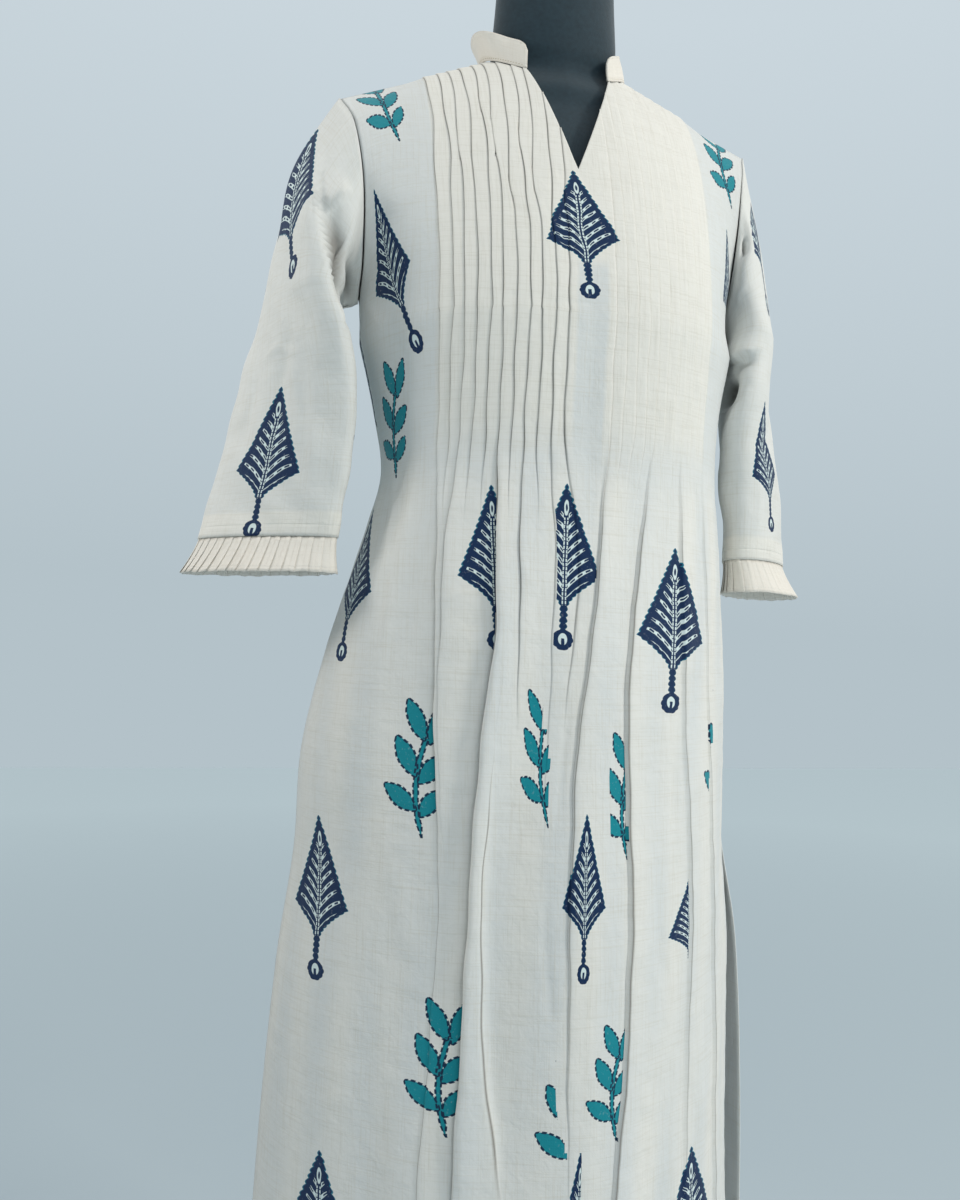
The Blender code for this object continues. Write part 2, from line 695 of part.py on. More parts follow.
def collar():
    """A standing band on the neckline, open at the front, with rounded top corners."""
    half = []
    quarter = body_quarter(BUST, -1, 1)
    for k in range(7):
        x = lerp(COLLAR_FRONT_HALF, NECK_HALF - 0.0005, k / 6)
        half.append(neckline_point(x, -1, quarter))
    quarter = body_quarter(BUST, 1, 1)
    for k in range(7, -1, -1):
        x = (NECK_HALF - 0.001) * math.sin(math.pi / 2 * k / 8)
        half.append(neckline_point(x, 1, quarter))
    line = [Vector((-p.x, p.y, p.z)) for p in half] + list(reversed(half[:-1]))
    lengths = [0.0]
    for p, q in zip(line, line[1:]):
        lengths.append(lengths[-1] + (q - p).length)
    outer, inner = [], []
    for share in (0.0, 0.5, 0.8, 1.0):
        outer_row, inner_row = [], []
        for k, point in enumerate(line):
            along = line[min(k + 1, len(line) - 1)] - line[max(k - 1, 0)]
            outwards = Vector((-along.y, along.x, 0)).normalized()
            if outwards.dot(Vector((point.x, point.y, 0))) < 0:
                outwards.negate()
            end = min(lengths[k], lengths[-1] - lengths[k])
            corner = max(0.0, 1 - end / COLLAR_CORNER)
            height = COLLAR_HEIGHT - COLLAR_CORNER * 0.7 * (1 - math.sqrt(1 - corner * corner))
            base = point + Vector((0, 0, SEAM_GAP * 2 + height * share))
            base -= outwards * COLLAR_LEAN * share
            outer_row.append(base)
            inner_row.append(base - outwards * COLLAR_WALL)
        outer.append(outer_row)
        inner.append(inner_row)
    wall_object("collar", outer, inner, "plain_cotton")


def ring_points(half_x, front, back, squareness, z, count):
    points = []
    for k in range(count):
        angle = 2 * math.pi * k / count
        c, s = math.cos(angle), math.sin(angle)
        depth = front if s < 0 else back
        power = 2 / squareness
        points.append(Vector((
            half_x * math.copysign(abs(c) ** power, c),
            depth * math.copysign(abs(s) ** power, s),
            z,
        )))
    return points


def lofted(name, rings, material_name):
    """A closed solid through rings of points, from the lowest up, with flat ends."""
    bm = bmesh.new()
    loops = [[bm.verts.new(point) for point in ring] for ring in rings]
    count = len(loops[0])
    for low, high in zip(loops, loops[1:]):
        for k in range(count):
            n = (k + 1) % count
            bm.faces.new((low[k], low[n], high[n], high[k]))
    bm.faces.new(list(reversed(loops[0])))
    bm.faces.new(loops[-1])
    return add_object(name, bm, material_name)


def dress_form():
    heights = [row[0] for row in FORM_SECTIONS]
    levels = []
    for low, high in zip(heights, heights[1:]):
        levels.append(low)
        if high - low > 0.05:
            levels.append((low + high) / 2)
    levels.append(heights[-1])
    rings = []
    for z in levels:
        half_x, front, back, squareness = (smooth_value(FORM_SECTIONS, z, c) for c in (1, 2, 3, 4))
        rings.append(ring_points(half_x, front, back, squareness, z, FORM_POINTS))
    lofted("dress_form", rings, "form_jersey")


def round_solid(name, profile, material_name, half_y_ratio=1.0):
    """A turned solid from (radius, height) pairs, lowest first."""
    rings = [
        ring_points(radius, radius * half_y_ratio, radius * half_y_ratio, 2, z, ROUND_SIDES)
        for radius, z in profile
    ]
    lofted(name, rings, material_name)


def stand():
    top = FORM_SECTIONS[-1][0]
    bottom = FORM_SECTIONS[0][0]
    ratio = CAP_HALF_Y / CAP_HALF_X
    cap_profile = (
        (CAP_HALF_X, top + SEAM_GAP),
        (CAP_HALF_X, top + CAP_THICK * 0.7),
        (CAP_HALF_X - CAP_THICK * 0.35, top + CAP_THICK),
    )
    round_solid("neck_cap", cap_profile, "cap_plastic", ratio)
    pole_bottom = BASE_HUB_HEIGHT + SEAM_GAP
    round_solid(
        "stand_pole",
        ((POLE_RADIUS, pole_bottom), (POLE_RADIUS, bottom - SEAM_GAP)),
        "stand_steel",
    )
    base_profile = (
        (BASE_RADIUS, 0.0),
        (BASE_RADIUS, BASE_THICK * 0.6),
        (BASE_RADIUS - 0.004, BASE_THICK),
        (BASE_HUB_RADIUS + 0.006, BASE_THICK + 0.002),
        (BASE_HUB_RADIUS, BASE_THICK + 0.010),
        (BASE_HUB_RADIUS - 0.006, BASE_HUB_HEIGHT),
    )
    round_solid("stand_base", base_profile, "stand_steel")


def main():
    for obj in list(bpy.data.objects):
        bpy.data.objects.remove(obj)
    front = body_panel("front", front_columns())
    back = body_panel("back", back_columns())
    sleeve("sleeve_right", SLEEVE_RIGHT, -1, front, back)
    sleeve("sleeve_left", SLEEVE_LEFT, 1, front, back)
    cuff_frill("frill_right", SLEEVE_RIGHT, -1)
    cuff_frill("frill_left", SLEEVE_LEFT, 1)
    collar()
    dress_form()
    stand()


if __name__ == "__main__":
    main()
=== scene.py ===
"""A kurta tunic with pin tucks, a standing collar and pleated cuff frills, hung on a limbless dress form.

Frame: metres, +Z up, the floor at z = 0, the front towards -Y, and the wearer's left towards +X.
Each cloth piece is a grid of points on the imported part's own form. Its rows run up and its columns go
round, and its flat coordinates, in metres of cloth, place the creases, the print and the weave.
"""

import logging
import math
from dataclasses import dataclass, field
from enum import Enum

import bmesh
import bpy
import numpy as np
from mathutils import Matrix, Vector


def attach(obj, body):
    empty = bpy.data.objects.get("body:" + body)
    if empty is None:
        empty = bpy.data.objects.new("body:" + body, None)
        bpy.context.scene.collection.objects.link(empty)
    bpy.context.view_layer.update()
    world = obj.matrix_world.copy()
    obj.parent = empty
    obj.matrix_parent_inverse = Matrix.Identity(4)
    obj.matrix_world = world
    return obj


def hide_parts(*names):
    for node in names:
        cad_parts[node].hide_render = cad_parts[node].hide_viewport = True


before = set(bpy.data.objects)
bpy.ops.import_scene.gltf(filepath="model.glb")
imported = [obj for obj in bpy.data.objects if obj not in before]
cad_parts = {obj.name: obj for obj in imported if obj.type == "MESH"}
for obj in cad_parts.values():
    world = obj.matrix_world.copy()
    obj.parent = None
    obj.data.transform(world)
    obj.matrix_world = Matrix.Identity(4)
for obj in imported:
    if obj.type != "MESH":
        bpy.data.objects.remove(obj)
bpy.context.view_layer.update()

logging.basicConfig(level=logging.INFO, format="%(message)s")
log = logging.getLogger("kurta")

NodeTree, Node, NodeSocket = bpy.types.NodeTree, bpy.types.Node, bpy.types.NodeSocket
Number = float | np.ndarray

BODY = "root"
MM = 0.001

# Heights above the floor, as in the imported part
NECK_POINT = 1.370
HEM = 0.220
SLIT_TOP = 0.700
RELEASE = 1.020
BUST = 1.115
V_BOTTOM = 1.236
V_POINT = -0.0077  # the V's point hangs a little to the wearer's right
COLLAR_FRONT_SEAM = 1.347
BACK_NECK = 1.353

# Widths across, from the centre line
NECK_HALF = 0.067
COLLAR_FRONT_HALF = 0.036
SHOULDER_HALF = 0.188
SHOULDER_DROP = 0.048
SHOULDER_LINE_Y = 0.004

# Cloth walls
WALL = 0.0018
SHELL = 0.0008
SEAM_GAP = 0.0003
SLIT_TURNING = 0.008
HEM_TURNING = 0.020
DEEPEST_CREASE = -0.0022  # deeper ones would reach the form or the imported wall's inside
CHEST_ROUNDNESS = 1.6
SLIT_GAPE = 0.006

# Pin tucks
TUCKS_A_SIDE = 11
CENTRE_STRIP_HALF = 0.0085
TUCK_PITCH = 0.0099
TUCK_LIFT = 0.0013

FRONT_SECTIONS = (
    # height, half_width_right, half_width_left, depth, squareness
    (0.220, 0.232, 0.176, 0.166, 1.65),
    (0.450, 0.224, 0.176, 0.160, 1.65),
    (0.600, 0.214, 0.174, 0.155, 1.65),
    (0.690, 0.203, 0.169, 0.150, 1.70),
    (0.770, 0.200, 0.167, 0.143, 1.75),
    (0.850, 0.183, 0.164, 0.136, 1.85),
    (0.900, 0.168, 0.161, 0.130, 1.95),
    (0.960, 0.150, 0.155, 0.122, 2.05),
    (1.005, 0.141, 0.151, 0.118, 2.10),
    (1.060, 0.150, 0.153, 0.121, 2.10),
    (1.115, 0.163, 0.163, 0.124, 2.10),
)
BACK_SECTIONS = (
    # height, half_width_right, half_width_left, depth, squareness
    (0.220, 0.230, 0.206, 0.150, 1.65),
    (0.450, 0.222, 0.203, 0.146, 1.65),
    (0.600, 0.213, 0.194, 0.142, 1.65),
    (0.690, 0.203, 0.177, 0.140, 1.70),
    (0.770, 0.200, 0.167, 0.137, 1.75),
    (0.850, 0.183, 0.164, 0.128, 1.85),
    (0.900, 0.168, 0.161, 0.120, 1.95),
    (0.960, 0.150, 0.155, 0.110, 2.05),
    (1.005, 0.141, 0.151, 0.106, 2.10),
    (1.060, 0.150, 0.153, 0.108, 2.10),
    (1.115, 0.163, 0.163, 0.112, 2.10),
)
ARMHOLE_FRONT = (
    # share, x, y, z
    (0.00, 0.1630, 0.000, 1.115),
    (0.12, 0.1650, 0.000, 1.146),
    (0.30, 0.1660, -0.030, 1.176),
    (0.55, 0.1700, -0.044, 1.232),
    (0.80, 0.1780, -0.029, 1.287),
    (1.00, 0.1880, 0.004, 1.322),
)
ARMHOLE_BACK = (
    # share, x, y, z
    (0.00, 0.1630, 0.000, 1.115),
    (0.12, 0.1650, 0.000, 1.146),
    (0.30, 0.1680, 0.036, 1.176),
    (0.55, 0.1730, 0.052, 1.232),
    (0.80, 0.1800, 0.036, 1.287),
    (1.00, 0.1880, 0.004, 1.322),
)
RING_SHARES = (1.00, 0.90, 0.80, 0.70, 0.60, 0.50, 0.40, 0.30, 0.20, 0.12)

FOLD_LEVELS = (0.220, 0.450, 0.560, 0.680, 0.790, 0.860, 0.930, RELEASE)
FRONT_FOLDS = {
    # tuck: places across at each level below the release line from the hem up, lifts there in mm
    -11: ((-0.1290, -0.1210, -0.1150, -0.1100, -0.1150, -0.1155, -0.1150), (0, 1, 1, 1, 3, 3, 3)),
    -9: ((-0.1160, -0.1100, -0.1070, -0.1050, -0.1120, -0.1105, -0.1075), (0, 0, 0, 0, 0.5, 1.5, 2.5)),
    -6: ((-0.0990, -0.0955, -0.0912, -0.0862, -0.0790, -0.0700, -0.0685), (2, 4, 7, 9, 9, 8, 6)),
    -5: ((-0.0520, -0.0580, -0.0735, -0.0765, -0.0680, -0.0625, -0.0600), (0, 0, -5, -4, 0, 0, 0)),
    -4: ((-0.0380, -0.0440, -0.0520, -0.0560, -0.0540, -0.0520, -0.0512), (0, 0, 0, 0, 0, 1, 2)),
    -2: ((-0.0262, -0.0295, -0.0345, -0.0355, -0.0310, -0.0280, -0.0250), (0, 0, 0, 0, 0.3, 0.6, 0.8)),
    -1: ((-0.0200, -0.0220, -0.0260, -0.0260, -0.0200, -0.0120, -0.0070), (0, 0, 0, 0, 0, 1, 1)),
    1: ((-0.0110, -0.0130, -0.0150, -0.0150, -0.0095, 0.0005, 0.0085), (0, 0, 1, 2, 2.6, 3, 2.6)),
    5: ((0.0120, 0.0185, 0.0290, 0.0325, 0.0290, 0.0320, 0.0428), (2, 2.2, 2.4, 2.6, 2.8, 2.8, 2.4)),
    8: ((0.0960, 0.0960, 0.0980, 0.1000, 0.0925, 0.0870, 0.0860), (1, 1, 1.5, 2, 1.5, 2, 2)),
    11: ((0.1520, 0.1480, 0.1440, 0.1400, 0.1320, 0.1260, 0.1210), (2, 2, 2, 2, 1, 1, 1)),
}
FOLD_REACH = 0.024
FOLD_FULLNESS = 1.4
BACK_FOLDS = (
    # across at the waist and at the hem, width, lift at the hem
    (-0.110, -0.150, 0.034, 0.007),
    (-0.038, -0.060, 0.030, 0.009),
    (0.034, 0.048, 0.036, 0.008),
    (0.100, 0.142, 0.032, 0.007),
)

SLEEVE_RIGHT = (
    # height, centre_x, centre_y, half_long, half_short, turn
    (0.941, -0.237, 0.000, 0.068, 0.018, 38),
    (1.000, -0.227, 0.001, 0.072, 0.019, 46),
    (1.050, -0.220, 0.002, 0.075, 0.021, 53),
    (1.100, -0.219, 0.003, 0.075, 0.021, 62),
    (1.140, -0.217, 0.004, 0.073, 0.021, 72),
)
SLEEVE_LEFT = (
    # height, centre_x, centre_y, half_long, half_short, turn
    (0.941, 0.213, 0.014, 0.064, 0.024, 52),
    (1.000, 0.210, 0.012, 0.070, 0.023, 55),
    (1.050, 0.202, 0.010, 0.074, 0.022, 60),
    (1.100, 0.196, 0.008, 0.074, 0.021, 68),
    (1.140, 0.193, 0.006, 0.073, 0.021, 74),
)
SLEEVE_ROUND = 0.300
SLEEVE_CAP_SWELL = {"RIGHT": 0.014, "LEFT": 0.004}
ARMHOLE_LEFT_IN = 0.011  # how far in the wearer's left armhole sits, as that shoulder leans away

FRILL_PLEATS = 32
FRILL_LENGTH = 0.029
FRILL_FLARE = 0.008
FRILL_SWAY = 0.007

COLLAR_HEIGHT = 0.023
COLLAR_LEAN = 0.001
COLLAR_CORNER = 0.010

FORM_SECTIONS = (
    # height, half_width, front_depth, back_depth, squareness
    (0.700, 0.1280, 0.0840, 0.0860, 2.10),
    (0.712, 0.1440, 0.0950, 0.0970, 2.10),
    (0.790, 0.1500, 0.1040, 0.1060, 2.10),
    (0.880, 0.1370, 0.0960, 0.0940, 2.10),
    (0.970, 0.1200, 0.0880, 0.0800, 2.10),
    (1.050, 0.1340, 0.1030, 0.0890, 2.10),
    (1.115, 0.1480, 0.1140, 0.1000, 2.15),
    (1.180, 0.1490, 0.1050, 0.0950, 2.15),
    (1.235, 0.1490, 0.0880, 0.0860, 2.05),
    (1.280, 0.1550, 0.0700, 0.0710, 1.85),
    (1.306, 0.1600, 0.0570, 0.0600, 1.65),
    (1.322, 0.1560, 0.0500, 0.0540, 1.52),
    (1.336, 0.1340, 0.0480, 0.0500, 1.45),
    (1.350, 0.0980, 0.0400, 0.0420, 1.45),
    (1.362, 0.0685, 0.0350, 0.0370, 1.60),
    (1.374, 0.0590, 0.0385, 0.0385, 1.90),
    (1.388, 0.0570, 0.0400, 0.0400, 2.00),
    (1.400, 0.0565, 0.0410, 0.0410, 2.00),
    (1.430, 0.0545, 0.0410, 0.0410, 2.00),
    (1.470, 0.0525, 0.0410, 0.0410, 2.00),
)


class Facing(Enum):
    """Which side of the body a panel covers, as the sign of its Y."""

    FRONT = -1
    BACK = 1


class Hand(Enum):
    """The wearer's hand, as the sign of its X."""

    RIGHT = -1
    LEFT = 1


class CreaseShape(Enum):
    """How the cloth stands beside a crease line."""

    RIDGE = "soft on both sides"
    STEP = "sharp on the low side, easing back on the other"


class MotifKind(Enum):
    """The two blocks of the print."""

    KITE = 0
    SPRIG = 1


# Numbers and curves


def lerp(a: Number, b: Number, share: Number) -> Number:
    """A value part of the way from a to b, for numbers, arrays and vectors."""
    return a + (b - a) * share


def ease(share: Number) -> Number:
    """A share from 0 to 1 that starts and ends gently."""
    share = np.clip(share, 0.0, 1.0)
    return share * share * (3 - 2 * share)


def unit(vectors: np.ndarray) -> np.ndarray:
    """The vectors, each one long."""
    return vectors / np.maximum(np.linalg.norm(vectors, axis=-1, keepdims=True), 1e-12)


def lengths_along(points: np.ndarray) -> np.ndarray:
    """How far along a line of points each of them lies."""
    return np.concatenate([[0], np.cumsum(np.linalg.norm(np.diff(points, axis=0), axis=1))])


def smooth_value(rows: tuple, key: float, column: int) -> float:
    """One column of a table at a key in its first column.

    Args:
        rows: The table, in the order of its first column.
        key: Where to read it.
        column: Which column to read.

    Returns:
        The value there, on a smooth curve through the rows.
    """
    last = len(rows) - 1
    k = max(0, min(last - 1, sum(key >= row[0] for row in rows) - 1))
    before, low, high, after = (rows[max(0, min(last, j))] for j in (k - 1, k, k + 1, k + 2))
    span = high[0] - low[0]
    share = max(0.0, min(1.0, (key - low[0]) / span))
    in_slope = (high[column] - before[column]) / max(high[0] - before[0], 1e-9) * span
    out_slope = (after[column] - low[column]) / max(after[0] - low[0], 1e-9) * span
    s2, s3 = share * share, share**3
    return (
        (2 * s3 - 3 * s2 + 1) * low[column]
        + (s3 - 2 * s2 + share) * in_slope
        + (3 * s2 - 2 * s3) * high[column]
        + (s3 - s2) * out_slope
    )


def ripple(x: np.ndarray, y: np.ndarray, scale: float, seed: int, waves: int = 7) -> np.ndarray:
    """A smooth uneven field from a few crossing waves.

    Args:
        x: One flat coordinate in metres.
        y: The other.
        scale: The middle wavelength in metres.
        seed: Chooses the waves.
        waves: How many there are.

    Returns:
        Values of about -1 to 1.
    """
    draw = np.random.default_rng(seed)
    total = np.zeros(np.broadcast(x, y).shape)
    for _ in range(waves):
        angle, phase = draw.uniform(0, math.pi), draw.uniform(0, 2 * math.pi)
        length = scale * draw.uniform(0.6, 1.7)
        total += np.sin((x * math.cos(angle) + y * math.sin(angle)) * 2 * math.pi / length + phase)
    return total / math.sqrt(waves * 2)


@dataclass(frozen=True)
class Crease:
    """A crease line in a piece's flat coordinates.

    A ridge has a positive height and a trough a negative one.
    """

    path: tuple
    width: float
    height: float
    shape: CreaseShape = CreaseShape.RIDGE

    def lift(self, across: np.ndarray, along: np.ndarray) -> np.ndarray:
        """How far the cloth stands out because of this crease, in metres.

        Args:
            across: Flat coordinates across, for each point.
            along: Flat coordinates up, for each point.

        Returns:
            The lift of each point, outwards where positive.
        """
        points = np.array(self.path)
        lengths = lengths_along(points)
        best = np.full(across.shape, 9.0)
        side, where = np.zeros(across.shape), np.zeros(across.shape)
        for k, (p, q) in enumerate(zip(points, points[1:])):
            step = q - p
            share = ((across - p[0]) * step[0] + (along - p[1]) * step[1]) / (step @ step)
            held = np.clip(share, 0, 1)
            dx, dy = across - p[0] - held * step[0], along - p[1] - held * step[1]
            distance = np.hypot(dx, dy)
            closer = distance < best
            best = np.where(closer, distance, best)
            side = np.where(closer, np.sign(dx * step[1] - dy * step[0]), side)
            where = np.where(closer, lengths[k] + held * (lengths[k + 1] - lengths[k]), where)
        from_end = np.minimum(where, lengths[-1] - where) / max(lengths[-1] * 0.35, 1e-6)
        taper = ease(from_end + 0.02)
        uneven = 1 + 0.3 * np.sin(where / 0.021 + points[0, 0] * 300)
        profile = np.exp(-((best / self.width) ** 2))
        if self.shape is CreaseShape.STEP:
            near = ease(best / 0.0014)
            profile = np.where(side > 0, profile, profile * (1 - near))
        return self.height * MM * taper * uneven * profile


class Quarter:
    """A quarter of one body section, from the centre line to the side seam, measured along its length."""

    STEPS = 96

    def __init__(self, half_width: float, depth: float, squareness: float) -> None:
        """Measures the quarter of a superellipse.

        Args:
            half_width: Its half axis across.
            depth: Its half axis outwards.
            squareness: Its exponent, 2 for an ellipse.
        """
        angles = np.linspace(0, math.pi / 2, self.STEPS + 1)
        power = 2 / squareness
        self.across = half_width * np.sin(angles) ** power
        self.out = depth * np.clip(np.cos(angles), 0, 1) ** power
        steps = np.hypot(np.diff(self.across), np.diff(self.out))
        self.lengths = np.concatenate([[0], np.cumsum(steps)])
        self.length = float(self.lengths[-1])

    def at(self, distance: np.ndarray) -> tuple[np.ndarray, np.ndarray]:
        """(across, out) at distances from the centre line."""
        return np.interp(distance, self.lengths, self.across), np.interp(distance, self.lengths, self.out)


def body_quarter(z: float, facing: Facing, hand: Hand) -> Quarter:
    """The body section's quarter at a height.

    Args:
        z: The height.
        facing: The front or the back.
        hand: Which side.

    Returns:
        The quarter, measured.
    """
    rows = FRONT_SECTIONS if facing is Facing.FRONT else BACK_SECTIONS
    width = 1 if hand is Hand.RIGHT else 2
    return Quarter(*(smooth_value(rows, z, column) for column in (width, 3, 4)))


def tuck_line(tuck: int, z: float) -> float:
    """A tuck's fold edge across the front: stitched straight, then hanging free.

    Args:
        tuck: The tuck's number, counted from the centre and negative on the wearer's right.
        z: The height.

    Returns:
        The edge's signed distance from the centre line.
    """
    stitched = math.copysign(CENTRE_STRIP_HALF + TUCK_PITCH * abs(tuck), tuck)
    if z >= RELEASE:
        return stitched
    tucks = sorted(FRONT_FOLDS)
    after = next(k for k, t in enumerate(tucks) if t >= tuck)
    before = after if tucks[after] == tuck else after - 1
    share = 0.0 if before == after else (tuck - tucks[before]) / (tucks[after] - tucks[before])
    low, high = FRONT_FOLDS[tucks[before]][0], FRONT_FOLDS[tucks[after]][0]
    places = [lerp(a, b, share) for a, b in zip(low, high)] + [stitched]
    return smooth_value(tuple(zip(FOLD_LEVELS, places)), z, 1)


def slit_gape(z: float) -> float:
    """How far a panel's side edge stands back from the side seam below the slit."""
    return SLIT_GAPE * max(0.0, (SLIT_TOP - z) / (SLIT_TOP - HEM)) ** 0.7


def shoulder_height(x: np.ndarray) -> np.ndarray:
    """Height of the shoulder line at a distance from the centre."""
    return NECK_POINT - SHOULDER_DROP * (np.abs(x) - NECK_HALF) / (SHOULDER_HALF - NECK_HALF)


def neckline_height(x: np.ndarray, facing: Facing) -> np.ndarray:
    """Where a panel's top edge lies: the V and the collar seam at the front, a scoop at the back.

    Args:
        x: Signed distances from the centre line.
        facing: The front or the back.

    Returns:
        The edge's height at each.
    """
    v_share = np.where(x < V_POINT, (V_POINT - x) / (COLLAR_FRONT_HALF + V_POINT), 0)
    v_share = np.where(x >= V_POINT, (x - V_POINT) / (COLLAR_FRONT_HALF - V_POINT), v_share)
    x = np.abs(x)
    if facing is Facing.BACK:
        inner = lerp(BACK_NECK, NECK_POINT, (x / NECK_HALF) ** 2)
    else:
        share = np.clip((x - COLLAR_FRONT_HALF) / (NECK_HALF - COLLAR_FRONT_HALF), 0, 1)
        seam = lerp(COLLAR_FRONT_SEAM, NECK_POINT, share**1.3)
        edge = lerp(V_BOTTOM, COLLAR_FRONT_SEAM, v_share)
        inner = np.where(x <= COLLAR_FRONT_HALF, edge, seam)
    return np.where(x >= NECK_HALF, shoulder_height(x), inner)


def chest_points(distance: Number, turn: Number, facing: Facing, quarter: Quarter) -> np.ndarray:
    """Points of the bodice above the bust line.

    Args:
        distance: Distances from the centre line.
        turn: From 0 at the bust to 1 on the shoulder line.
        facing: The front or the back.
        quarter: The section at the bust line.

    Returns:
        The points, with X as a distance from the centre.
    """
    distance, turn = np.broadcast_arrays(np.asarray(distance, float), np.asarray(turn, float))
    across, out = quarter.at(distance)
    power = 2 / CHEST_ROUNDNESS
    angle = turn * math.pi / 2
    rise, run = np.sin(angle) ** power, np.clip(np.cos(angle), 0, 1) ** power
    x = lerp(across, distance, rise)
    y = lerp(SHOULDER_LINE_Y, facing.value * out, run)
    z = lerp(BUST, shoulder_height(distance), rise)
    return np.stack([x, y, z], axis=-1)


def top_turns(signed: np.ndarray, facing: Facing, quarter: Quarter) -> np.ndarray:
    """Where each column meets the neckline or the shoulder seam.

    Args:
        signed: The columns' signed distances from the centre line.
        facing: The front or the back.
        quarter: The section at the bust line.

    Returns:
        The turn there, from 0 at the bust to 1 on the shoulder line.
    """
    distance, sign = np.abs(signed), np.where(signed < 0, -1, 1)
    low, high = np.zeros(distance.shape), np.ones(distance.shape)
    for _ in range(30):
        middle = (low + high) / 2
        point = chest_points(distance, middle, facing, quarter)
        is_below = point[..., 2] < neckline_height(point[..., 0] * sign, facing)
        low, high = np.where(is_below, middle, low), np.where(is_below, high, middle)
    return np.where(distance >= NECK_HALF, 1.0, low)


def armhole_point(share: float, facing: Facing, hand: Hand) -> np.ndarray:
    """A point of a panel's armhole edge.

    Args:
        share: Its share of the way up.
        facing: The front or the back.
        hand: Which side.

    Returns:
        The point, with X as a distance from the centre.
    """
    rows = ARMHOLE_FRONT if facing is Facing.FRONT else ARMHOLE_BACK
    point = np.array([smooth_value(rows, share, column) for column in (1, 2, 3)])
    if hand is Hand.LEFT:
        point[0] -= ARMHOLE_LEFT_IN * math.sin(math.pi * share) ** 0.8
    return point


def grid_normals(points: np.ndarray, is_ring: bool = False) -> np.ndarray:
    """The outward normal at every point of a grid whose rows go up.

    Args:
        points: The grid, rows by columns by three.
        is_ring: Whether the last column lies on the first.

    Returns:
        Unit vectors in a grid of the same shape.
    """
    along = np.gradient(points, axis=1)
    if is_ring:
        along[:, 0] = along[:, -1] = points[:, 1] - points[:, -2]
    return unit(np.cross(along, np.gradient(points, axis=0)))


def smooth_rows(values: np.ndarray, passes: int) -> np.ndarray:
    """Averages unit vectors with their neighbours along each row.

    Args:
        values: The vectors, rows by columns by three.
        passes: How many times to average.

    Returns:
        The smoothed unit vectors.
    """
    for _ in range(passes):
        padded = np.concatenate([values[:, :1], values, values[:, -1:]], axis=1)
        values = unit(padded[:, :-2] + 2 * padded[:, 1:-1] + padded[:, 2:])
    return values


# Shader nodes and finishes


def linear(colour: str) -> tuple:
    """A #RRGGBB colour as linear RGBA."""
    channels = [int(colour[k : k + 2], 16) / 255 for k in (1, 3, 5)]
    return (*(c / 12.92 if c <= 0.04045 else ((c + 0.055) / 1.055) ** 2.4 for c in channels), 1.0)


def add_node(tree: NodeTree, kind: str, settings: dict | None = None, inputs: dict | None = None) -> Node:
    """Adds one node.

    Args:
        tree: The node tree.
        kind: Blender's name of the node's type.
        settings: Its properties.
        inputs: Its sockets by name or number, each a value or another node's output.

    Returns:
        The new node.
    """
    node = tree.nodes.new(kind)
    for name, value in (settings or {}).items():
        setattr(node, name, value)
    for key, value in (inputs or {}).items():
        value = value.socket if isinstance(value, Signal) else value
        if isinstance(value, NodeSocket):
            tree.links.new(value, node.inputs[key])
        else:
            node.inputs[key].default_value = value
    return node


def coated(tree: NodeTree, colour: NodeSocket | tuple, coats: tuple | list) -> NodeSocket:
    """Lays colours over one another.

    Args:
        tree: The node tree.
        colour: The colour underneath, as a socket or linear RGBA.
        coats: From the lowest up, how much of each shows and its colour, as a hex value or a socket.

    Returns:
        The socket of the colour on top.
    """
    for share, over in coats:
        inputs = {"Factor": share, 6: colour, 7: over if isinstance(over, NodeSocket) else linear(over)}
        colour = add_node(tree, "ShaderNodeMix", {"data_type": "RGBA"}, inputs).outputs[2]
    return colour


class Signal:
    """A number that varies over a surface, which arithmetic turns into further numbers."""

    def __init__(self, tree: NodeTree, socket: NodeSocket) -> None:
        """Keeps a node's output with its tree."""
        self.tree, self.socket = tree, socket

    def _with(self, operation: str, *others: "Signal | float", clamp: bool = False) -> "Signal":
        """The result of one operation.

        Args:
            operation: Its name in Blender.
            others: The numbers after this one.
            clamp: Whether the result is held between 0 and 1.

        Returns:
            The result.
        """
        inputs = dict(enumerate((self, *others)))
        settings = {"operation": operation, "use_clamp": clamp}
        return Signal(self.tree, add_node(self.tree, "ShaderNodeMath", settings, inputs).outputs[0])

    def __add__(self, other: "Signal | float") -> "Signal":
        """Sum."""
        return self._with("ADD", other)

    def __sub__(self, other: "Signal | float") -> "Signal":
        """Difference."""
        return self._with("SUBTRACT", other)

    def __mul__(self, other: "Signal | float") -> "Signal":
        """Product."""
        return self._with("MULTIPLY", other)

    def __truediv__(self, other: "Signal | float") -> "Signal":
        """Quotient."""
        return self._with("DIVIDE", other)

    def __abs__(self) -> "Signal":
        """Size without sign."""
        return self._with("ABSOLUTE")

    def sine(self) -> "Signal":
        """Sine of the number in radians."""
        return self._with("SINE")

    def power(self, exponent: float) -> "Signal":
        """The number raised to a power."""
        return self._with("POWER", exponent)

    def fraction(self) -> "Signal":
        """What is left above the whole number."""
        return self._with("FRACT")

    def clamped(self) -> "Signal":
        """The number held between 0 and 1."""
        return self._with("ADD", 0.0, clamp=True)

    def above(self, other: "Signal | float", soft: float) -> "Signal":
        """1 where the number is above another, 0 where below, changing over a soft width."""
        return ((self - other) / soft + 0.5).clamped()

    def least(self, other: "Signal | float") -> "Signal":
        """The smaller of two numbers."""
        return self._with("MINIMUM", other)

    def most(self, other: "Signal | float") -> "Signal":
        """The larger of two numbers."""
        return self._with("MAXIMUM", other)


INK_EDGE = 0.25  # mm over which printed ink fades into the cloth


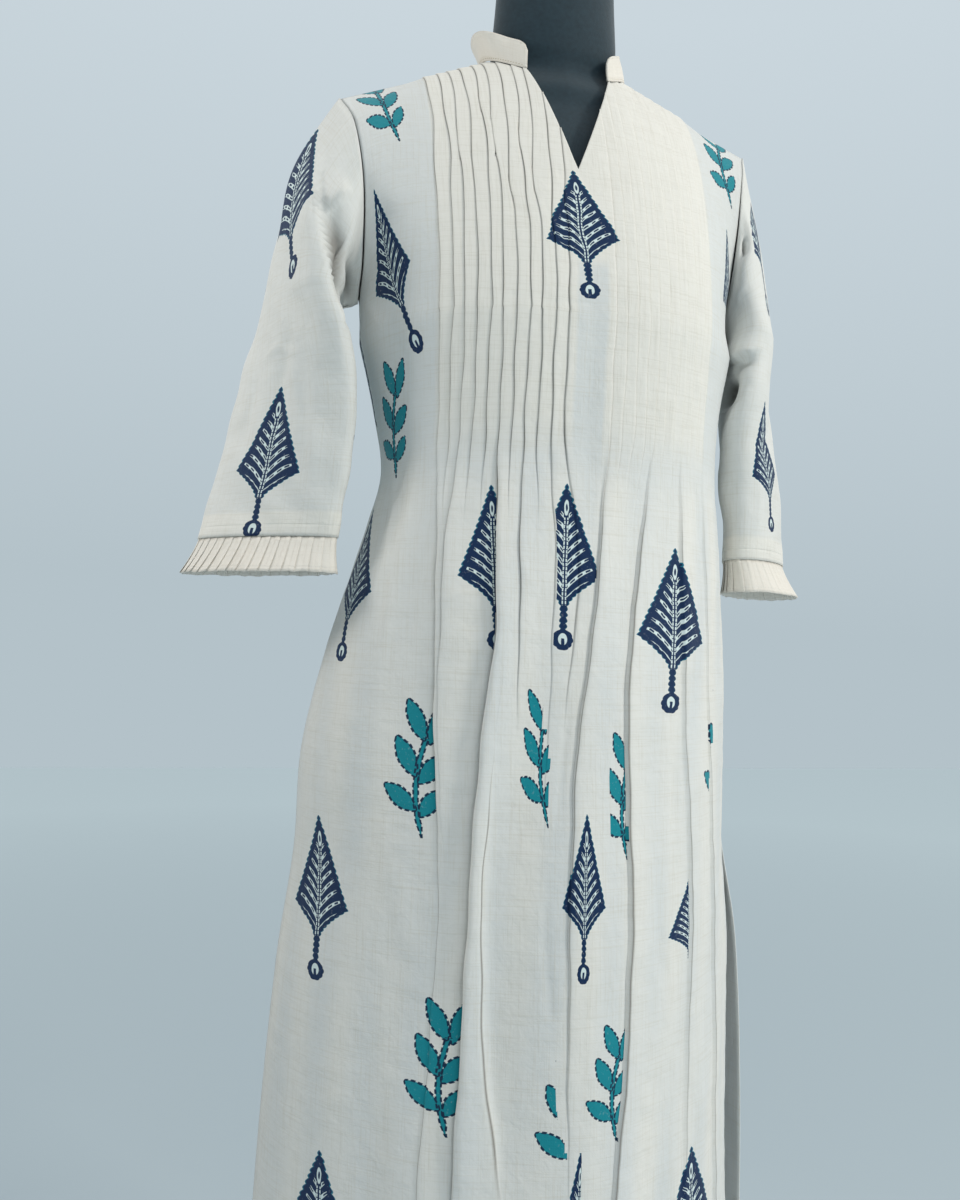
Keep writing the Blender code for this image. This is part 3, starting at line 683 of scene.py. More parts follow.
@dataclass(frozen=True)
class KiteBlock:
    """The kite leaf of the print, in millimetres from its foot: a scalloped leaf on a stem with a ring."""

    height: float = 131.0
    widest: float = 58.0
    half_width: float = 28.5
    stem_top: float = 33.0
    stem_half: float = 2.7
    ring_height: float = 8.5
    ring_radius: float = 8.0
    scallop: float = 4.4
    vein_pitch: float = 9.3
    first_vein: float = 33.0
    veins: int = 8

    def masks(self, x: Signal, y: Signal) -> tuple[Signal, Signal, Signal]:
        """Draws the block.

        Args:
            x: Millimetres across from the stem.
            y: Millimetres up from the foot.

        Returns:
            Where the leaf is printed, where its teal rim is, and the bare lines in it.
        """
        a = abs(x)
        upper = (y * -1 + self.height) / (self.height - self.widest)
        lower = (y - self.stem_top) / (self.widest - self.stem_top)
        lower_half = lower.most(0.0).power(1.55) * (self.half_width - self.stem_half) + self.stem_half
        half = (upper.most(0.0).power(1.04) * self.half_width + 0.7).least(lower_half)
        scallop = abs((y * (math.pi / self.scallop) + a * 0.25).sine()) * 1.3 - 0.75
        edge = half + scallop - a
        in_height = y.above(12.0, INK_EDGE) * (y * -1).above(-self.height - 0.5, INK_EDGE)
        leaf = edge.above(0.0, INK_EDGE).least(in_height)
        ring_y = y - self.ring_height
        ring_distance = (x * x + ring_y * ring_y).power(0.5)
        ring_edge = (scallop * 0.5 + self.ring_radius) - ring_distance
        ring = ring_edge.above(0.0, INK_EDGE)
        hole_wide, hole_high = x / 3.5, (ring_y - 0.4) / 4.6
        hole_distance = hole_wide * hole_wide + hole_high * hole_high
        slit = (a * -1 + 1.3).above(0.0, INK_EDGE).least((ring_y * -1).above(-1.0, INK_EDGE))
        hole = (hole_distance * -1 + 1).above(0.0, 0.15) * (slit * -1 + 1)
        ink = leaf.most(ring)
        rim = (edge * -1 + 0.7).above(0.0, 0.4) * (ring * -1 + 1) * (y.above(36.0, 2.0) * 0.7 + 0.3)
        arch = a * 1.30 - a * a * 0.023
        root = y - arch - self.first_vein
        turn = root / self.vein_pitch
        off = abs(turn.fraction() - 0.5) * (self.vein_pitch * 0.74)
        reach = (a / (half - 3.5).most(1.0)).least(1.0)
        width = (reach * reach * reach) * -0.85 + 1.40
        band = (width - off).above(0.0, INK_EDGE)
        dash = ((a * 0.95 + y * 0.15).sine()).above(-0.3, 0.4)
        core = (off * -1 + 0.62).above(0.0, 0.2) * dash
        in_leaf = (half - a).above(5.0, INK_EDGE) * a.above(1.9, INK_EDGE)
        in_rows = turn.above(0.0, 0.02) * (turn * -1).above(-float(self.veins), 0.02)
        veins = band * (core * -1 + 1) * in_leaf * in_rows
        spine_off = abs(a - 1.2)
        spine = (spine_off * -1 + 0.5).above(0.0, INK_EDGE) * y.above(35.0, 0.4)
        spine = spine * (y * -1).above(-(self.height - 27.0), 0.4)
        spine = spine * ((y * 1.9).sine()).above(-0.75, 0.3)
        tip_high, tip_wide = (y - (self.height - 19.0)) / 6.3, x / 1.9
        tip_distance = tip_high * tip_high + tip_wide * tip_wide
        tip = (tip_distance * -1 + 1).above(0.0, 0.2) * tip_distance.above(0.22, 0.15)
        return ink, rim, veins.most(spine).most(tip).most(hole) * ink


@dataclass(frozen=True)
class SprigBlock:
    """The leafy sprig of the print, in millimetres from its foot."""

    stem: float = 84.0
    leaves: tuple = (
        # across, up, lean in degrees, length, width
        (-1.5, 81.0, -27.0, 40.0, 14.5),
        (2.5, 78.0, 16.0, 38.0, 12.5),
        (-8.0, 50.0, -31.0, 40.0, 15.5),
        (-6.0, 45.0, 42.0, 34.0, 15.0),
        (-6.0, 22.0, -58.0, 38.0, 15.0),
        (-3.5, 17.0, 36.0, 30.0, 13.5),
    )

    def masks(self, x: Signal, y: Signal) -> tuple[Signal, Signal]:
        """Draws the block.

        Args:
            x: Millimetres across from the foot.
            y: Millimetres up from the foot.

        Returns:
            Where the sprig is printed, and the dark dashes round it.
        """
        bend = (y * (math.pi / 86.0)).sine() * -8.0
        off = abs(x - bend)
        length = (y * -1 + self.stem).above(0.0, 0.5) * y.above(0.0, 0.5)
        half = (y * 0.22).least(2.3)
        ink = (half - off).above(0.0, INK_EDGE) * length
        dark = (abs(off - half) * -1 + 0.95).above(0.0, 0.25) * length
        dark = dark * ((y * 1.05).sine()).above(-0.5, 0.4)
        for across, up, lean, long, wide in self.leaves:
            c, s = math.cos(math.radians(lean)), math.sin(math.radians(lean))
            dx, dy = x - across, y - up
            along = (dx * s + dy * c) / long
            side = abs(dx * c - dy * s)
            inside = along.above(0.0, 0.01) * (along * -1).above(-1.0, 0.01)
            shape = (along.most(0.0).least(1.0) * math.pi).sine().most(0.0).power(0.80) * (wide * 0.54)
            edge = shape - side
            ink = ink.most(edge.above(0.0, INK_EDGE) * inside)
            dashes = ((along * (long * 1.05)).sine()).above(-0.55, 0.4)
            line = (abs(edge) * -1 + 1.1).above(0.0, 0.25) * inside
            dark = dark.most(line * dashes)
        return ink, dark


class Finish:
    """A finish: it makes one material from what the real surface is."""

    name = "finish"

    def material(self) -> bpy.types.Material:
        """The finished material, made once."""
        if self.name in bpy.data.materials:
            return bpy.data.materials[self.name]
        made = bpy.data.materials.new(self.name)
        made.use_nodes = True
        self.dress(made.node_tree, made.node_tree.nodes["Principled BSDF"])
        return made

    def dress(self, tree: NodeTree, shader: Node) -> None:
        """Sets the shader's sockets and links. Each finish has its own."""
        raise NotImplementedError


@dataclass(frozen=True)
class SlubCotton(Finish):
    """Handloom slub cotton, plain woven and unbleached: matte, with thick and thin threads both ways.

    Its threads are about 0.35 mm apart. The render can't show that, so the weave is drawn at 1.1 mm.
    """

    name: str = "plain_slub_cotton"
    slot: str = "plain_cotton"
    single: str = "#DADDDC"
    layered: str = "#E8E6DF"
    slub: str = "#CAC5B6"
    # the colour of the painted shade in tuck grooves and deep folds
    groove: str = "#4E4437"
    thread_mm: float = 1.1
    stitch_mm: float = 3.0
    stitch: str = "#A9A695"
    roughness: float = 0.88

    def cloth_colour(self, tree: NodeTree) -> tuple:
        """The unprinted cloth.

        Args:
            tree: The material's node tree.

        Returns:
            Its colour socket, and the height of its weave in millimetres.
        """
        flat = add_node(tree, "ShaderNodeUVMap", {"uv_map": "cloth"})
        parts = add_node(tree, "ShaderNodeSeparateXYZ", inputs={0: flat.outputs[0]})
        across, along = (Signal(tree, parts.outputs[k]) * 1000 for k in (0, 1))
        fields = []
        # noise cells a millimetre across and along: thin slubs each way, then broad bands each way
        for wide, long in ((0.95, 0.028), (0.028, 0.95), (0.30, 0.010), (0.009, 0.34)):
            spread = {0: across * wide, 1: along * long, 2: wide * 9}
            place = add_node(tree, "ShaderNodeCombineXYZ", inputs=spread)
            noise = add_node(
                tree,
                "ShaderNodeTexNoise",
                inputs={"Vector": place.outputs[0], "Scale": 1.0, "Detail": 2.0, "Roughness": 0.6},
            )
            fields.append(Signal(tree, noise.outputs["Fac"]))
        warp, weft, thick_warp, thick_weft = fields
        slubs = warp.above(0.60, 0.16) * 0.5 + weft.above(0.60, 0.16) * 0.5
        bands = (thick_warp + thick_weft) * 0.5
        layers, seam, shade = (
            Signal(tree, add_node(tree, "ShaderNodeAttribute", {"attribute_name": name}).outputs["Fac"])
            for name in ("layers", "seam", "shade")
        )
        off = abs(seam)
        run = ((across + along) * (2 * math.pi / self.stitch_mm)).sine().above(-0.45, 0.3)
        thread = (off * -1 + 0.42).above(0.0, 0.2) * run
        coats = (
            (layers, self.layered),
            ((slubs * 0.42 + (bands - 0.44) * 0.40).clamped(), self.slub),
            (thread * 0.75, self.stitch),
            # painted shade: the groove colour laid where the shade attribute marks grooves and deep folds
            (shade * 0.85, self.groove),
        )
        weave_a = (across * (2 * math.pi / self.thread_mm)).sine()
        weave_b = (along * (2 * math.pi / self.thread_mm)).sine()
        groove = (off * -1 + 1.2).above(0.0, 1.0)
        height = weave_a * weave_b * 0.035 + slubs * 0.10 + bands * 0.12 - groove * 0.35
        return coated(tree, linear(self.single), coats), height

    def crumple(self, tree: NodeTree, height: Signal) -> NodeSocket:
        """Adds the small crumples of washed cotton, 6 to 30 mm across, to the weave.

        Args:
            tree: The material's node tree.
            height: The height of the weave in millimetres.

        Returns:
            The socket of the normal.
        """
        place = add_node(tree, "ShaderNodeTexCoord")
        # cells a metre, height in millimetres, kind
        crumples = ((34.0, 1.19, "RIDGED_MULTIFRACTAL"), (90.0, 0.85, "FBM"), (230.0, 0.30, "FBM"))
        for scale, share, kind in crumples:
            inputs = {"Vector": place.outputs["Object"], "Scale": scale, "Detail": 2.0, "Distortion": 0.4}
            noise = add_node(tree, "ShaderNodeTexNoise", {"noise_type": kind}, inputs)
            height = height + Signal(tree, noise.outputs["Fac"]) * share
        bump = add_node(tree, "ShaderNodeBump", inputs={"Height": height, "Distance": MM, "Strength": 0.75})
        return bump.outputs["Normal"]

    def dress(self, tree: NodeTree, shader: Node) -> None:
        """Unprinted cotton."""
        self.finish_shader(tree, shader, *self.cloth_colour(tree))

    def finish_shader(self, tree: NodeTree, shader: Node, colour: NodeSocket, height: Signal) -> None:
        """Links the colour and relief, and sets what is the same all over.

        Args:
            tree: The material's node tree.
            shader: Its shader.
            colour: The cloth's colour.
            height: The height of its weave in millimetres.
        """
        tree.links.new(colour, shader.inputs["Base Color"])
        tree.links.new(self.crumple(tree, height), shader.inputs["Normal"])
        shader.inputs["Roughness"].default_value = self.roughness
        shader.inputs["IOR"].default_value = 1.5
        shader.inputs["Specular IOR Level"].default_value = 0.25
        shader.inputs["Sheen Weight"].default_value = 0.12
        shader.inputs["Sheen Roughness"].default_value = 0.5


@dataclass(frozen=True)
class BlockPrintedCotton(SlubCotton):
    """The same cotton, printed by hand with two blocks, in navy and teal ink that sinks into the cloth."""

    name: str = "block_printed_slub_cotton"
    slot: str = "printed_cotton"
    navy: str = "#102C50"
    rim: str = "#27798F"
    bare: str = "#DCEBEA"
    teal: str = "#108794"
    dark: str = "#12304A"
    strength: float = 1.0

    def dress(self, tree: NodeTree, shader: Node) -> None:
        """Cotton with both blocks printed on it."""
        cloth, height = self.cloth_colour(tree)
        spot = add_node(tree, "ShaderNodeUVMap", {"uv_map": "print"})
        parts = add_node(tree, "ShaderNodeSeparateXYZ", inputs={0: spot.outputs[0]})
        x, y = (Signal(tree, parts.outputs[k]) * 1000 for k in (0, 1))
        grain = add_node(tree, "ShaderNodeTexCoord").outputs["Object"]
        # how the thread tops take ink unevenly, and how the block's outline strays on them
        blot, shake = (
            add_node(tree, "ShaderNodeTexNoise", inputs={"Vector": grain, "Scale": scale, "Detail": detail})
            for scale, detail in ((420.0, 2.0), (160.0, 1.0))
        )
        wobble = (Signal(tree, shake.outputs["Fac"]) - 0.5) * 1.5
        x, y = x + wobble, y + wobble * 0.7
        ink, rim, bare = KiteBlock().masks(x, y)
        sprig, dashes = SprigBlock().masks(x - 1000, y)
        take = (Signal(tree, blot.outputs["Fac"]).above(0.30, 0.16) * 0.12 + 0.88) * self.strength
        inks = (
            (ink * take, self.navy),
            (ink * rim * take, self.rim),
            (bare * 0.93 * self.strength, self.bare),
            (sprig * take, self.teal),
            (dashes * take, self.dark),
        )
        self.finish_shader(tree, shader, coated(tree, cloth, inks), height)


@dataclass(frozen=True)
class FormJersey(Finish):
    """Dark cotton jersey stretched over the form: matte with a soft lit edge, from fine vertical ribs.

    Its ribs are 1 mm apart, which the render shows only as a fine grain.
    """

    name: str = "cotton_jersey"
    colour: str = "#14262F"
    worn: str = "#233B46"

    def dress(self, tree: NodeTree, shader: Node) -> None:
        """Jersey with a fine rib and a little fluff."""
        place = add_node(tree, "ShaderNodeTexCoord")
        parts = add_node(tree, "ShaderNodeSeparateXYZ", inputs={0: place.outputs["Object"]})
        x, y, z = (Signal(tree, parts.outputs[k]) for k in range(3))
        ribs = (x._with("ARCTAN2", y) * 330.0).sine()
        rows = (z * 6300.0).sine()
        fibres = {"Vector": place.outputs["Object"], "Scale": 260.0, "Detail": 3.0}
        fluff = add_node(tree, "ShaderNodeTexNoise", inputs=fibres)
        fluff_signal = Signal(tree, fluff.outputs["Fac"])
        colour = coated(tree, linear(self.colour), ((fluff_signal, self.worn),))
        height = ribs * 0.05 + rows * 0.02 + fluff_signal * 0.12
        bump = add_node(tree, "ShaderNodeBump", inputs={"Height": height, "Distance": MM, "Strength": 0.6})
        tree.links.new(colour, shader.inputs["Base Color"])
        tree.links.new(bump.outputs["Normal"], shader.inputs["Normal"])
        shader.inputs["Roughness"].default_value = 0.72
        shader.inputs["Specular IOR Level"].default_value = 0.35
        shader.inputs["Sheen Weight"].default_value = 0.35
        shader.inputs["Sheen Roughness"].default_value = 0.4


@dataclass(frozen=True)
class HardFinish(Finish):
    """A hard surface with a fine grain: moulded plastic or powder-coated steel."""

    name: str = "hard"
    colour: str = "#101214"
    light: str = "#1C1F22"
    roughness: float = 0.45
    metallic: float = 0.0
    grain_scale: float = 900.0
    grain_mm: float = 0.03

    def dress(self, tree: NodeTree, shader: Node) -> None:
        """A colour that varies a little, with the grain of its surface."""
        place = add_node(tree, "ShaderNodeTexCoord").outputs["Object"]
        grain, cloud = (
            Signal(
                tree,
                add_node(
                    tree, "ShaderNodeTexNoise", inputs={"Vector": place, "Scale": scale, "Detail": detail}
                ).outputs["Fac"],
            )
            for scale, detail in ((self.grain_scale, 2.0), (14.0, 4.0))
        )
        colour = coated(tree, linear(self.colour), ((cloud, self.light),))
        rough = cloud * 0.16 + (self.roughness - 0.08)
        bump = add_node(
            tree, "ShaderNodeBump", inputs={"Height": grain, "Distance": self.grain_mm * MM, "Strength": 1.0}
        )
        tree.links.new(colour, shader.inputs["Base Color"])
        tree.links.new(rough.socket, shader.inputs["Roughness"])
        tree.links.new(bump.outputs["Normal"], shader.inputs["Normal"])
        shader.inputs["Metallic"].default_value = self.metallic


PRINTED = BlockPrintedCotton()
PRINTED_INSIDE = BlockPrintedCotton(name="block_printed_slub_cotton_inside", strength=0.62)
PLAIN = SlubCotton(single="#E4DFD6", layered="#E8E3DA", slub="#DAD1C2", stitch="#B8AD98")
JERSEY = FormJersey()
# ABS, injection moulded: an even satin surface
CAP_PLASTIC = HardFinish(name="moulded_abs", roughness=0.42)
# Mild steel under black powder coat: a fine orange peel that softens its reflections
STAND_STEEL = HardFinish(
    name="powder_coated_steel", colour="#17191B", light="#22262A", roughness=0.38, grain_mm=0.05
)


# Objects in the scene


def add_object(name: str, bm: bmesh.types.BMesh) -> bpy.types.Object:
    """Makes an object from a bmesh.

    Args:
        name: The object's name.
        bm: Its mesh, which is freed.

    Returns:
        The object, in the scene.
    """
    mesh = bpy.data.meshes.new(name)
    bm.to_mesh(mesh)
    bm.free()
    made = bpy.data.objects.new(name, mesh)
    bpy.context.scene.collection.objects.link(made)
    return made


def tie(piece: bpy.types.Object, node: str) -> None:
    """Ties a piece to the frame and reports it.

    Args:
        piece: The piece.
        node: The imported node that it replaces.
    """
    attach(piece, BODY)
    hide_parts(node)
    log.info("%s: %d faces", piece.name, len(piece.data.polygons))


# Cloth pieces


@dataclass(frozen=True)
class Motif:
    """One print of a block on a piece, in the piece's flat coordinates.

    The foot is where the block's foot falls. Lean turns it, and stretch narrows it where the cloth
    is folded. After and before are fold lines that hide the print on their far sides, each a tuck's
    number or a path of (across, along) going up. Base hides the part of the block below it.
    """

    kind: MotifKind
    across: float
    foot: float
    lean: float = 0.0
    scale: float = 1.0
    stretch: float = 1.0
    after: tuple | int = ()
    before: tuple | int = ()
    base: float = -9.0

    def local(self, across: np.ndarray, along: np.ndarray) -> tuple[np.ndarray, np.ndarray]:
        """Block coordinates of points.

        Args:
            across: Their flat coordinates across.
            along: Their flat coordinates up.

        Returns:
            Metres across and up from the block's foot, before it was scaled and turned.
        """
        c, s = math.cos(math.radians(self.lean)), math.sin(math.radians(self.lean))
        dx, dy = across - self.across, along - self.foot
        return (dx * c - dy * s) / (self.scale * self.stretch), (dx * s + dy * c) / self.scale

    def shows(self, across: np.ndarray, along: np.ndarray) -> np.ndarray:
        """Where this print shows.

        Args:
            across: Points' flat coordinates across.
            along: Their flat coordinates up.

        Returns:
            Whether each point lies there.
        """
        x, y = self.local(across, along)
        half, low, high = BLOCK_REACH
        shown = (np.abs(x) < half) & (y > max(low, self.base)) & (y < high)
        for line, side in ((self.after, 1), (self.before, -1)):
            if line:
                path = np.array(tuck_path(line) if isinstance(line, int) else line)
                margin = 0.0008 if isinstance(line, int) else 0.0
                shown &= (across - np.interp(along, path[:, 1], path[:, 0])) * side > margin
        return shown


def tuck_path(tuck: int) -> list:
    """A tuck's fold edge below the bust line as (across, along) pairs going up."""
    return [(tuck_line(tuck, z), z) for z in np.linspace(HEM, BUST, 60)]


NO_PRINT = (5.0, 5.0)
BLOCK_REACH = (0.046, -0.012, 0.139)  # half width, lowest and highest, with a margin of one face


@dataclass
class ClothPiece:
    """A piece of cloth as a grid of points on the outside of its wall."""

    name: str
    node: str
    finish: SlubCotton
    cut: tuple
    cut_area: float | None = None
    held: str = "hung"
    rests_on: tuple = ("dress_form",)
    motifs: tuple = ()
    creases: tuple = ()
    is_ring: bool = False
    shell: float = SHELL
    seed: int = 1
    points: np.ndarray = field(default=None, repr=False)
    flat: np.ndarray = field(default=None, repr=False)
    layers: np.ndarray = field(default=None, repr=False)
    seam: np.ndarray = field(default=None, repr=False)
    shade: np.ndarray | None = field(default=None, repr=False)

    def flip(self) -> None:
        """Turns the order of the columns round, so that the cloth faces outwards."""
        self.points, self.flat = self.points[:, ::-1], self.flat[:, ::-1]

    def deep_shade(self) -> np.ndarray:
        """Painted shade in the piece's deepest folds, from 0 to 1."""
        return np.clip((-self.crease_lift() - 0.003) / 0.009, 0, 0.75)

    def crease_lift(self) -> np.ndarray:
        """How far each point stands out because of the piece's creases."""
        across, along = self.flat[..., 0], self.flat[..., 1]
        return sum((crease.lift(across, along) for crease in self.creases), np.zeros(across.shape))

    def print_coordinates(self, corners: np.ndarray) -> np.ndarray:
        """Block coordinates for the corners of faces.

        Args:
            corners: Flat coordinates, faces by corners by two.

        Returns:
            Coordinates of the block that each face lies in, or a place where nothing is printed.
        """
        result = np.empty(corners.shape)
        result[:] = NO_PRINT
        centre = corners.mean(axis=1)
        for motif in self.motifs:
            inside = motif.shows(centre[:, 0], centre[:, 1])
            u, v = motif.local(corners[inside, :, 0], corners[inside, :, 1])
            result[inside] = np.stack([u + float(motif.kind.value), v], axis=-1)
        return result

    def build(self) -> None:
        """Makes the piece's mesh from its grid, dresses it and ties it to the frame."""
        rows, columns = self.points.shape[:2]
        bm = bmesh.new()
        bmesh.ops.create_grid(bm, x_segments=columns - 1, y_segments=rows - 1, size=1.0)
        cloth, spot = bm.loops.layers.uv.new("cloth"), bm.loops.layers.uv.new("print")
        layers, seam, shade = (bm.verts.layers.float.new(name) for name in ("layers", "seam", "shade"))
        bm.verts.ensure_lookup_table()
        index = {}
        for vert in bm.verts:
            at = (round((vert.co.y + 1) / 2 * (rows - 1)), round((vert.co.x + 1) / 2 * (columns - 1)))
            index[vert.index] = at
            vert.co = self.points[at]
            vert[layers] = self.layers[at]
            vert[seam] = self.seam[at] / MM
            vert[shade] = 0.0 if self.shade is None else self.shade[at]
        corners = np.array([[self.flat[index[v.index]] for v in face.verts] for face in bm.faces])
        prints = self.print_coordinates(corners)
        for face, flat, block in zip(bm.faces, corners, prints):
            face.smooth = True
            for loop, uv, local in zip(face.loops, flat, block):
                loop[cloth].uv = uv
                loop[spot].uv = local
        if self.is_ring:
            edge = [v for v in bm.verts if index[v.index][1] in (0, columns - 1)]
            bmesh.ops.remove_doubles(bm, verts=edge, dist=1e-5)
        piece = add_object(self.name, bm)
        self.dress(piece)
        tie(piece, self.node)

    def dress(self, piece: bpy.types.Object) -> None:
        """Gives the piece its wall and its finishes, with the print fainter on the wrong side.

        Args:
            piece: The piece.
        """
        inside = PRINTED_INSIDE if self.finish is PRINTED else self.finish
        for finish in (self.finish, inside):
            piece.data.materials.append(finish.material())
        wall = piece.modifiers.new("wall", "SOLIDIFY")
        wall.thickness = self.shell
        wall.offset = -1.0
        wall.use_rim = True
        wall.material_offset = 1


@dataclass
class BodyPanel(ClothPiece):
    """A front or back panel, from the hem to the shoulder seam."""

    facing: Facing = Facing.FRONT
    body_rows: int = 128
    upper_rows: int = 52
    side_columns: int = 24

    def heights(self) -> np.ndarray:
        """The rows below the bust line."""
        return np.linspace(HEM, BUST, self.body_rows)

    def places_below(self, z: float) -> np.ndarray:
        """Signed places across the panel of every column at a height."""
        raise NotImplementedError

    def middle_distances(self) -> np.ndarray:
        """Signed distances of the columns between the outermost tucks, above the bust line."""
        raise NotImplementedError

    def lifts(self, z: float, places: np.ndarray) -> np.ndarray:
        """How far the hanging folds stand out at a height."""
        raise NotImplementedError

    def stray(self, share: float) -> np.ndarray:
        """How far each middle column strays sideways above the bust line."""
        return np.zeros(len(self.middle_distances()))

    def relief(self, z: float, share: float) -> np.ndarray:
        """How far each column's stitched tuck stands out."""
        return np.zeros(len(self.middle_distances()) + 2 * self.side_columns)

    def lay_out(self) -> None:
        """Fills the panel's grids."""
        bust = body_quarter(BUST, self.facing, Hand.LEFT)
        middle = self.middle_distances()
        last = float(middle[-1])
        rows, flat, lifts, reliefs = [], [], [], []
        for z in self.heights():
            places = self.places_below(z)
            row = np.empty((len(places), 3))
            for hand in Hand:
                held = (places < 0) == (hand is Hand.RIGHT)
                across, out = body_quarter(z, self.facing, hand).at(np.abs(places[held]))
                row[held, 0], row[held, 1], row[held, 2] = hand.value * across, self.facing.value * out, z
            rows.append(row)
            flat.append(np.stack([places, np.full(places.shape, z)], axis=1))
            lifts.append(self.lifts(z, places))
            reliefs.append(self.relief(z, 0.0))
        turns = top_turns(middle, self.facing, bust)
        side_shares = np.arange(1, self.side_columns + 1) / self.side_columns
        along = np.full(len(rows[-1]), BUST)
        for share in np.linspace(0, 1, self.upper_rows + 1)[1:]:
            strayed = middle + self.stray(share)
            centre = chest_points(np.abs(strayed), share * turns, self.facing, bust)
            centre[:, 0] *= np.sign(strayed)
            right, left = (self.side_points(side_shares, share, last, bust, hand) for hand in Hand)
            row = np.concatenate([right[::-1] * (-1, 1, 1), centre, left])
            along = along + np.linalg.norm(row - rows[-1], axis=1)
            rows.append(row)
            flat.append(np.stack([flat[-1][:, 0], along], axis=1))
            lifts.append(np.zeros(len(row)))
            reliefs.append(self.relief(BUST, share))
        self.points, self.flat = np.array(rows), np.array(flat)
        self.place_outside(np.array(lifts), np.array(reliefs))

    def side_points(
        self, shares: np.ndarray, share: float, last: float, bust: Quarter, hand: Hand
    ) -> np.ndarray:
        """The columns between the outermost tuck and the armhole, above the bust line.

        Args:
            shares: Each column's share of the way to the armhole.
            share: The row's share of the way up.
            last: The outermost tuck's distance from the centre.
            bust: The section at the bust line.
            hand: Which side.

        Returns:
            The points, with X as a distance from the centre.
        """
        inner = chest_points(last, share, self.facing, bust)
        edge = armhole_point(share, self.facing, hand)
        straight = inner[None] + (edge - inner)[None] * shares[:, None]
        across, out = bust.at(lerp(last, bust.length, shares))
        (near_x, near_y), (far_x, far_y) = bust.at(last), bust.at(bust.length)
        swell = np.stack(
            [
                across - lerp(near_x, far_x, shares),
                self.facing.value * (out - lerp(near_y, far_y, shares)),
                np.zeros(shares.shape),
            ],
            axis=1,
        )
        return straight + swell * (1 - share) ** 1.5

    def place_outside(self, lifts: np.ndarray, reliefs: np.ndarray) -> None:
        """Moves the grid from the inside of the cloth to its outside, with folds, tucks and creases.

        Args:
            lifts: How far the folds stand out.
            reliefs: How far the tucks stand out.
        """
        if self.facing is Facing.BACK:
            self.flip()
            lifts, reliefs = lifts[:, ::-1], reliefs[:, ::-1]
        normals = smooth_rows(grid_normals(self.points), 6)
        x = self.points[..., 0]
        columns = x.shape[1]
        seam_rows = self.body_rows + int(self.upper_rows * 0.12)
        for column in (0, columns - 1):
            normals[: seam_rows + 1, column] = (math.copysign(1, x[5, column]), 0, 0)
        on_shoulder = np.abs(x[-1]) > NECK_HALF
        run = np.full(columns, SHOULDER_HALF - NECK_HALF)
        slope = unit(np.stack([np.sign(x[-1]) * SHOULDER_DROP, 0 * run, run], axis=1))
        normals[-1, on_shoulder] = slope[on_shoulder]
        gap = np.zeros(self.points.shape)
        gap[: seam_rows + 1, (0, -1), 1] = gap[-1, on_shoulder, 1] = self.facing.value * SEAM_GAP / 2
        across, along = self.flat[..., 0], self.flat[..., 1]
        crumple = ripple(across, along * 0.6, 0.075, self.seed) * 0.9
        crumple += ripple(across, along, 0.030, self.seed + 1) * 0.22
        below = ease((RELEASE - self.points[..., 2]) / 0.12)
        rough = crumple * MM * lerp(0.35, 1.25, below) + self.crease_lift()
        edge = np.minimum(np.arange(columns), columns - 1 - np.arange(columns))
        rough *= np.clip(edge / 3, 0, 1)[None]
        rough[-6:] *= np.linspace(1, 0, 6)[:, None]
        total = lifts + reliefs + WALL + np.maximum(rough, DEEPEST_CREASE)
        self.points = self.points + gap + normals * total[..., None]
        self.layers, self.seam = self.cloth_layers(reliefs), self.stitch_lines()
        # painted shade in the grooves beside the folds, for the material's shade attribute
        self.shade = self.groove_shade()

    def cloth_layers(self, reliefs: np.ndarray) -> np.ndarray:
        """How much cloth lies behind each point, from 0 for one layer to 1."""
        return np.zeros(reliefs.shape)

    def groove_shade(self) -> np.ndarray:
        """How much painted shade lies in the grooves beside its folds, from 0 to 1."""
        return np.zeros(self.points.shape[:2])

    def stitch_lines(self) -> np.ndarray:
        """Distance of each point from the nearest line of stitches, in metres."""
        z = self.points[..., 2]
        steps = np.linalg.norm(np.diff(self.points, axis=1), axis=2)
        from_left = np.concatenate([np.zeros((len(z), 1)), np.cumsum(steps, axis=1)], axis=1)
        from_edge = np.minimum(from_left, from_left[:, -1:] - from_left)
        sides = np.abs(from_edge - SLIT_TURNING) + np.maximum(z - SLIT_TOP, 0)
        return np.minimum(sides, np.abs(z - HEM - HEM_TURNING))

    def edge(self, hand: Hand) -> np.ndarray:
        """The armhole edge's points from the bust line up.

        Args:
            hand: Which side.

        Returns:
            The points in the panel's own grid.
        """
        is_first = (hand is Hand.RIGHT) == (self.facing is Facing.FRONT)
        return self.points[self.body_rows - 1 :, 0 if is_first else -1]


TUCK_PROFILE = (
    # share of the way in to the next tuck, share of its lift: a groove outside the edge, then the tuck
    (-0.10, 0.05),
    (-0.035, -0.50),
    (0.00, 0.95),
    (0.05, 1.00),
    (0.24, 0.84),
    (0.42, 0.62),
    (0.58, 0.42),
    (0.78, 0.20),
)


